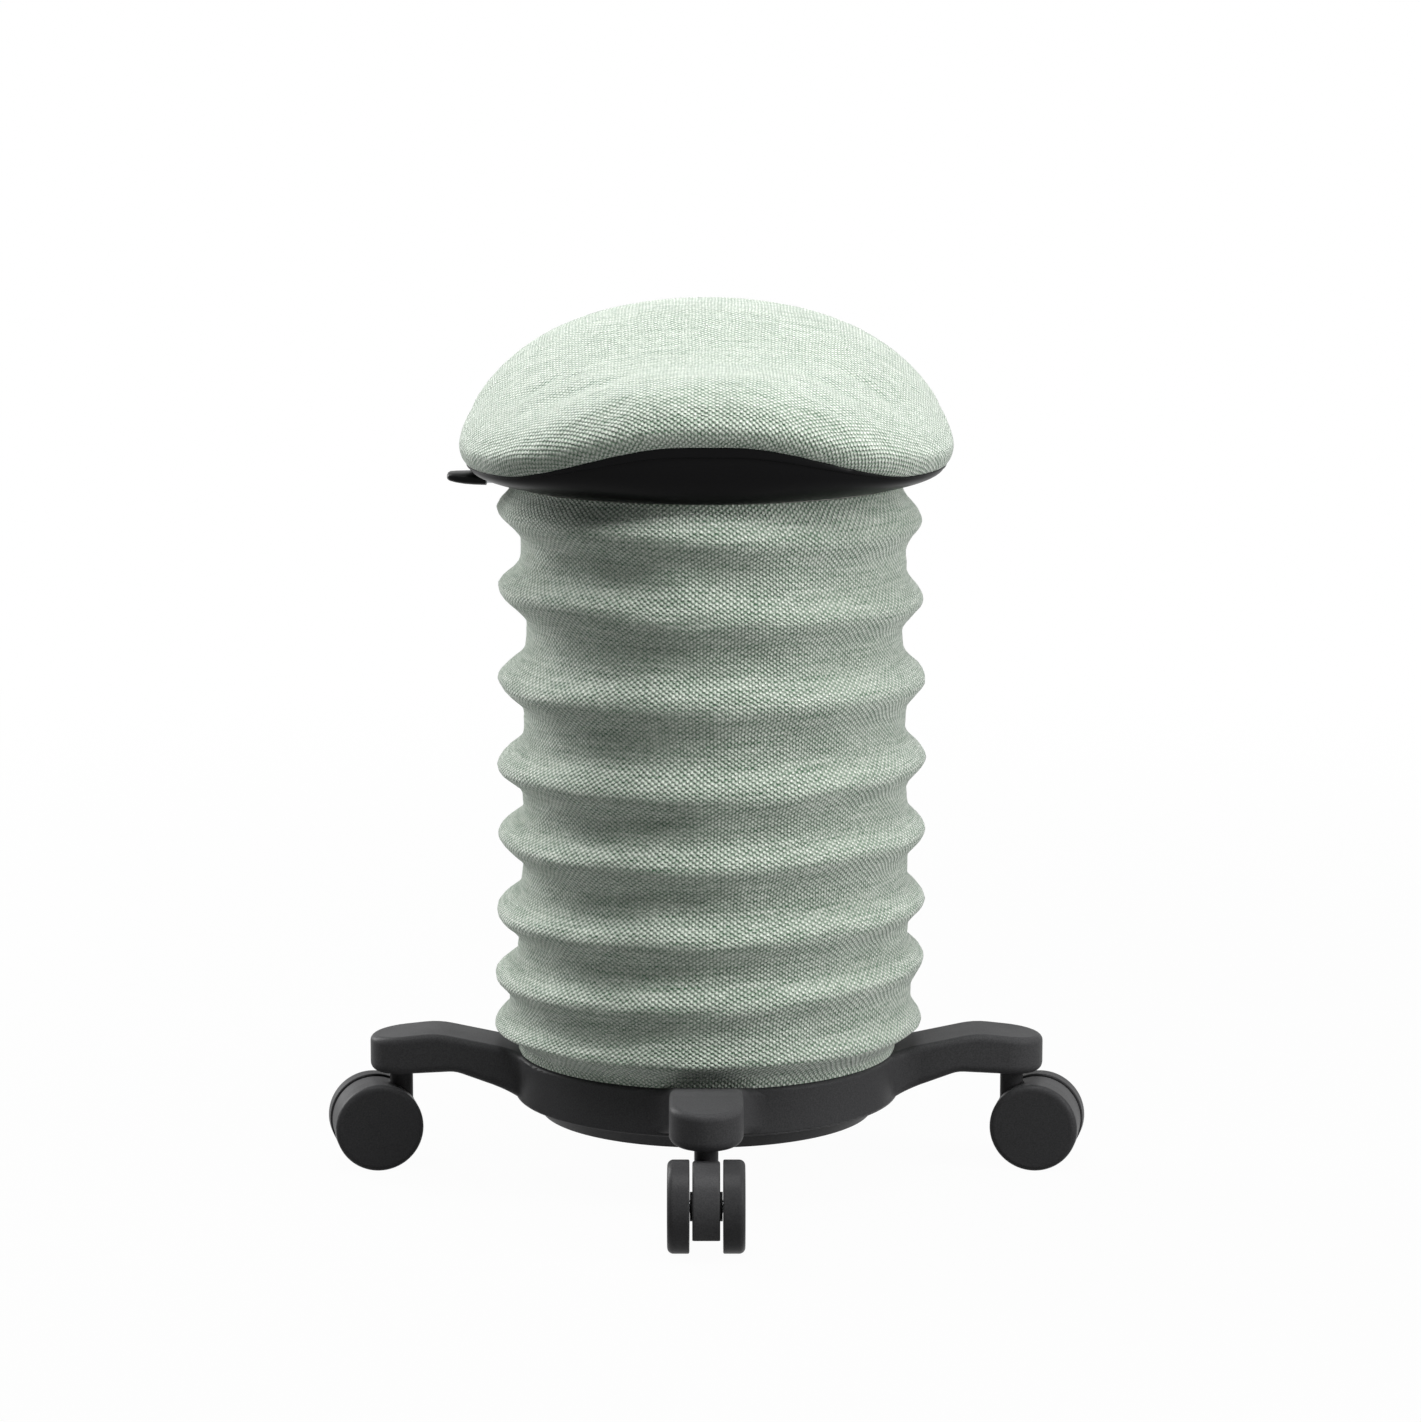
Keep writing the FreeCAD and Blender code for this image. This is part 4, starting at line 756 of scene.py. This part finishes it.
def cloth_rows(rows):
    """For each point of the form, how much cloth lies between it and the crown, sideways and lengthwise."""
    maps = []
    for trail in zip(*rows[::-1]):
        x, y, _ = trail[0]
        turn = math.atan2(y / HALF_DEEP, x / HALF_WIDE)
        sideways = abs(math.cos(turn)) ** MAP_POWER
        lengthwise = abs(math.sin(turn)) ** MAP_POWER
        spot = np.array([x, y])
        trail_map = [spot]
        for before, after in zip(trail, trail[1:]):
            out, back, fall = np.abs(np.subtract(after, before))
            spot = spot + (math.copysign(math.hypot(out, sideways * fall), x),
                           math.copysign(math.hypot(back, lengthwise * fall), y))
            trail_map.append(spot)
        maps.append(trail_map[::-1])
    return [list(row) for row in zip(*maps)]


def weave_saddle(piece, rows):
    """Give a swelled piece the form's map, point by point."""
    maps = [spot for row in cloth_rows(rows) for spot in row]
    points = [Vector(p) * MM for row in rows for p in row]
    quads = row_quads(len(rows), len(rows[0]))
    form = BVHTree.FromPolygons(points, quads)
    mesh = piece.data
    mapped = np.empty((len(mesh.vertices), 2))
    for vertex in mesh.vertices:
        spot, _, face, _ = form.find_nearest(vertex.co)
        weights = poly_3d_calc([points[i] for i in quads[face]], spot)
        mapped[vertex.index] = sum(w * maps[i] for w, i in zip(weights, quads[face]))
    layer = mesh.uv_layers.new(name="weave")
    corners = np.empty(len(mesh.loops), dtype=int)
    mesh.loops.foreach_get("vertex_index", corners)
    layer.data.foreach_set("uv", (mapped[corners] * MM).ravel())


weave_saddle(cushion, cushion_rows(0.0))
dress(cushion, SAGE_KNIT)
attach(cushion, "seat")
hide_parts("seat_cover", "seat_foam")
print("cushion mapped and riding on the seat")

# %% [markdown]
# ## The seat shell
#
# Under the cushion sits a black dish, moulded in one piece. Its floor is a flat oval on the sleeve, its
# wall swells out like a bowl, and a narrow upright band under the cushion hides the edge of the cover.
# The dish thins out towards its left and right ends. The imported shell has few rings, so it is drawn again
# here with many.

# %% Shell form
SHELL_AROUND = 240
SHELL_HOLE = 24.0
SHELL_WALL = 3.0
FLOOR_EDGE = 132.0
FLOOR_SIDES = 0.88
FLOOR_CHAMFER = 2.0
FLOOR_CHAMFER_RISE = 0.2
BOWL_POWER = 0.8
BOWL_STEPS_OUTSIDE = 16
BOWL_STEPS_INSIDE = 10
BAND_TALL = 7.0
BAND_PROUD = 1.3
BAND_AT_SIDES = 0.2
BAND_ROWS = ((-0.5, BAND_TALL - 0.3), (-0.1, BAND_TALL - 0.8), (0.0, BAND_TALL - 1.6), (0.0, 1.2),
             (-0.3, 0.4), (-1.0, 0.0), (-2.2, 0.0), (-SHELL_WALL, 0.6))
INSIDE_DROP = 3.0


def floor_row(radius, height, sides=1.0):
    """A ring of the floor, drawn in at its sides."""
    return [(radius * sides * math.cos(a), radius * math.sin(a), height) for a in turns(SHELL_AROUND)]


def rim_row(outset, drop):
    """A row below the rim by a drop that is full at the front and back and small at the sides."""
    row = []
    for angle in turns(SHELL_AROUND):
        x, y = plan(angle, outset)
        fullness = BAND_AT_SIDES + (1 - BAND_AT_SIDES) * rim_share(x, y)
        row.append((x, y, rim_height(x, y) - drop * fullness))
    return row


def bowl_rows(low, high, steps):
    """Rows from one ring to another along a bent quarter of an ellipse."""
    low = np.array(low)
    high = np.array(high)
    rows = []
    for step in range(steps + 1):
        angle = math.pi / 2 * step / steps
        out = math.sin(angle)
        up = (1 - math.cos(angle)) ** BOWL_POWER
        rows.append(low + (high - low) * (out, out, up))
    return rows


def shell_rows():
    inner_floor = FLOOR_OF_SHELL + SHELL_WALL
    bottom = [floor_row(SHELL_HOLE, FLOOR_OF_SHELL),
              floor_row(FLOOR_EDGE - FLOOR_CHAMFER, FLOOR_OF_SHELL, FLOOR_SIDES)]
    outside = bowl_rows(floor_row(FLOOR_EDGE, FLOOR_OF_SHELL + FLOOR_CHAMFER_RISE, FLOOR_SIDES),
                        rim_row(-BAND_PROUD, BAND_TALL), BOWL_STEPS_OUTSIDE)
    band = [rim_row(outset, drop) for outset, drop in BAND_ROWS]
    inside = bowl_rows(floor_row(FLOOR_EDGE - SHELL_WALL, inner_floor, FLOOR_SIDES),
                       rim_row(-SHELL_WALL - BAND_PROUD, INSIDE_DROP), BOWL_STEPS_INSIDE)
    return bottom + outside + band + inside[::-1] + [floor_row(SHELL_HOLE, inner_floor)]


def ring_skin(name, rows):
    """A closed wall through rows of points, where the last row leads back to the first."""
    faces = row_quads(len(rows), len(rows[0]), wrap=True)
    return mesh_object(name, [np.array(p) * MM for row in rows for p in row], faces)


def outward(piece):
    """Turn all faces of a closed piece outwards."""
    work = bmesh.new()
    work.from_mesh(piece.data)
    bmesh.ops.recalc_face_normals(work, faces=work.faces)
    work.to_mesh(piece.data)
    work.free()


shell = ring_skin("seat_shell_moulding", shell_rows())
outward(shell)
print("shell:", len(shell.data.polygons), "faces")

# %% [markdown]
# The lever comes out on the left through a window in the dish. A box is subtracted to cut it, because
# that also closes the thickness of the wall round the opening.

# %% Lever window
WINDOW = ((-176.0, -18.0, 458.0), (-119.5, 18.0, 481.5))
BOX_FACES = [(0, 1, 3, 2), (4, 6, 7, 5), (0, 4, 5, 1), (2, 3, 7, 6), (0, 2, 6, 4), (1, 5, 7, 3)]
SHELL_SHARP = math.radians(40)
cutter = mesh_object("window_cutter", [Vector(corner) * MM for corner in product(*zip(*WINDOW))], BOX_FACES)
outward(cutter)
opening = shell.modifiers.new("window", "BOOLEAN")
opening.object = cutter
opening.operation = "DIFFERENCE"
opening.solver = "EXACT"
apply_modifiers(shell)
bpy.data.objects.remove(cutter)
dress(shell, SHELL_PLASTIC)
shell.data.set_sharp_from_angle(angle=SHELL_SHARP)
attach(shell, "seat")
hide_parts("seat_shell")
print("shell with its window:", len(shell.data.polygons), "faces")

# %% [markdown]
# The lever ends in a small grip that a finger lifts. A bevelled box would be too plain: the grip is flat
# and rounded, narrows to its tip and holds the end of the steel bar. So it is drawn through sections, and
# each lists its place, half its width, half its thickness and its middle height.

# %% Lever grip
GRIP_SECTIONS = ((-147.5, 15.0, 4.4, 472.6), (-155.0, 14.5, 4.3, 472.7), (-162.0, 13.5, 4.0, 472.9),
                 (-168.0, 12.0, 3.5, 473.3), (-172.0, 10.0, 2.9, 473.7), (-173.5, 8.0, 2.0, 473.8),
                 (-174.0, 5.0, 1.0, 473.8))
GRIP_AROUND = 48
GRIP_POWER = 2 / 3
GRIP_SHARP = math.radians(50)


def grip_row(x, wide, thick, middle):
    """One section of the grip, an oval pressed towards a rectangle."""
    return [(x, pressed(math.cos(a), GRIP_POWER) * wide, middle + pressed(math.sin(a), GRIP_POWER) * thick)
            for a in turns(GRIP_AROUND)]


grip = closed_rows("lever_grip", [grip_row(*section) for section in GRIP_SECTIONS])
outward(grip)
dress(grip, SHELL_PLASTIC)
grip.data.set_sharp_from_angle(angle=GRIP_SHARP)
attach(grip, "lever")
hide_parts("lever_paddle")
print("grip:", len(grip.data.polygons), "faces")

# %% [markdown]
# ## Floor and light
#
# The picture has a plain white ground. Lighting a floor until it is white would flood the stool as well,
# so for the camera the floor is mostly white by itself, with a small share of real diffuse light near the
# stool that leaves a faint shadow. For the rays that light the stool it is a plain grey floor.

# %% Floor
FLOOR_REACH = 40.0
SHADOW_NEAR = 0.5
SHADOW_FAR = 2.2
GLOW_NEAR = 0.97


def seen_directly(tree):
    """1 for a ray from the camera, off a gloss or through glass, and 0 for a ray that lights something."""
    path = add(tree, "ShaderNodeLightPath").outputs
    seen = add(tree, MATH, {0: path["Is Camera Ray"], 1: path["Is Glossy Ray"]}, operation="MAXIMUM")
    return add(tree, MATH, {0: seen, 1: path["Is Transmission Ray"]}, operation="MAXIMUM")


def white_ground():
    """Matt studio floor: even white to the eye, with a faint shadow."""
    material, tree, surface = new_material("matt_white_studio_floor")
    connect(tree, surface, {"Base Color": linear("#8c8c8c"), "Roughness": 0.9})
    glow = add(tree, "ShaderNodeEmission", {"Color": WHITE, "Strength": 1.0})
    spot = add(tree, "ShaderNodeTexCoord").outputs["Object"]
    away = add(tree, "ShaderNodeVectorMath", {0: spot}, operation="LENGTH").outputs["Value"]
    plain = add(tree, RANGE, {"Value": away, "From Min": SHADOW_NEAR, "From Max": SHADOW_FAR,
                              "To Min": GLOW_NEAR, "To Max": 1.0}, interpolation_type="SMOOTHSTEP")
    share = add(tree, MATH, {0: seen_directly(tree), 1: plain}, operation="MULTIPLY")
    both = add(tree, "ShaderNodeMixShader", {0: share, 1: surface, 2: glow})
    connect(tree, tree.nodes["Material Output"], {"Surface": both})
    return material


floor = mesh_object("studio_floor", [(-FLOOR_REACH, -FLOOR_REACH, 0), (FLOOR_REACH, -FLOOR_REACH, 0),
                                     (FLOOR_REACH, FLOOR_REACH, 0), (-FLOOR_REACH, FLOOR_REACH, 0)],
                    [(0, 1, 2, 3)])
floor.data.materials.append(white_ground())
print("floor", 2 * FLOOR_REACH, "m wide")

# %% [markdown]
# Light comes from a wide box above the front and a tall box on each side. The left one is stronger and
# stands a little behind the stool, which lights that edge and leaves the front of the sleeve calmer. The
# world adds a weak even light, and is white only where it is seen.

# %% Lamps
def softbox(name, place, aim, wide, tall, power):
    """A rectangular area lamp turned towards its aim."""
    lamp = bpy.data.lights.new(name, "AREA")
    lamp.shape = "RECTANGLE"
    lamp.size = wide
    lamp.size_y = tall
    lamp.energy = power
    made = placed(name, lamp)
    made.location = place
    made.rotation_euler = (Vector(aim) - Vector(place)).to_track_quat("-Z", "Y").to_euler()


softbox("box_above", (0.0, -0.55, 2.3), (0.0, 0.0, 0.5), 1.4, 1.2, 52.0)
softbox("box_right", (1.5, -0.6, 1.0), (0.0, 0.0, 0.35), 0.6, 1.4, 26.0)
softbox("box_left", (-1.35, 0.95, 1.0), (0.0, 0.0, 0.35), 0.6, 1.4, 42.0)

# %% World
WORLD_LIGHT = 0.11
world = bpy.data.worlds.new("studio")
world.use_nodes = True
bpy.context.scene.world = world
air = world.node_tree
air.nodes.clear()
strength = add(air, RANGE, {"Value": seen_directly(air), "To Min": WORLD_LIGHT, "To Max": 1.0})
sky = add(air, "ShaderNodeBackground", {"Color": WHITE, "Strength": strength})
add(air, "ShaderNodeOutputWorld", {"Surface": sky})
bpy.context.scene.view_settings.view_transform = "Standard"
print("world light:", WORLD_LIGHT)

# %% [markdown]
# ## Camera
#
# The picture was taken from about three metres in front, with the lens a quarter of a metre higher than
# the seat and tilted down. The seat is then seen almost level and the base from further above. Place,
# tilt and lens were fitted to the outlines of the wheels, the arms, the sleeve and the seat together.

# %% Camera
PHOTO_WIDE = 1421
FOCAL_PIXELS = 4756.0
SENSOR = 36.0
CAMERA_PLACE = (0.0027, -3.178, 0.837)
CAMERA_PITCH = 9.35
camera_data = bpy.data.cameras.new("studio_camera")
camera_data.sensor_width = SENSOR
camera_data.lens = FOCAL_PIXELS / PHOTO_WIDE * SENSOR
camera = placed("studio_camera", camera_data)
camera.location = CAMERA_PLACE
camera.rotation_euler = (math.radians(90.0 - CAMERA_PITCH), 0.0, 0.0)
bpy.context.scene.camera = camera
print("lens", round(camera_data.lens, 1), "mm")
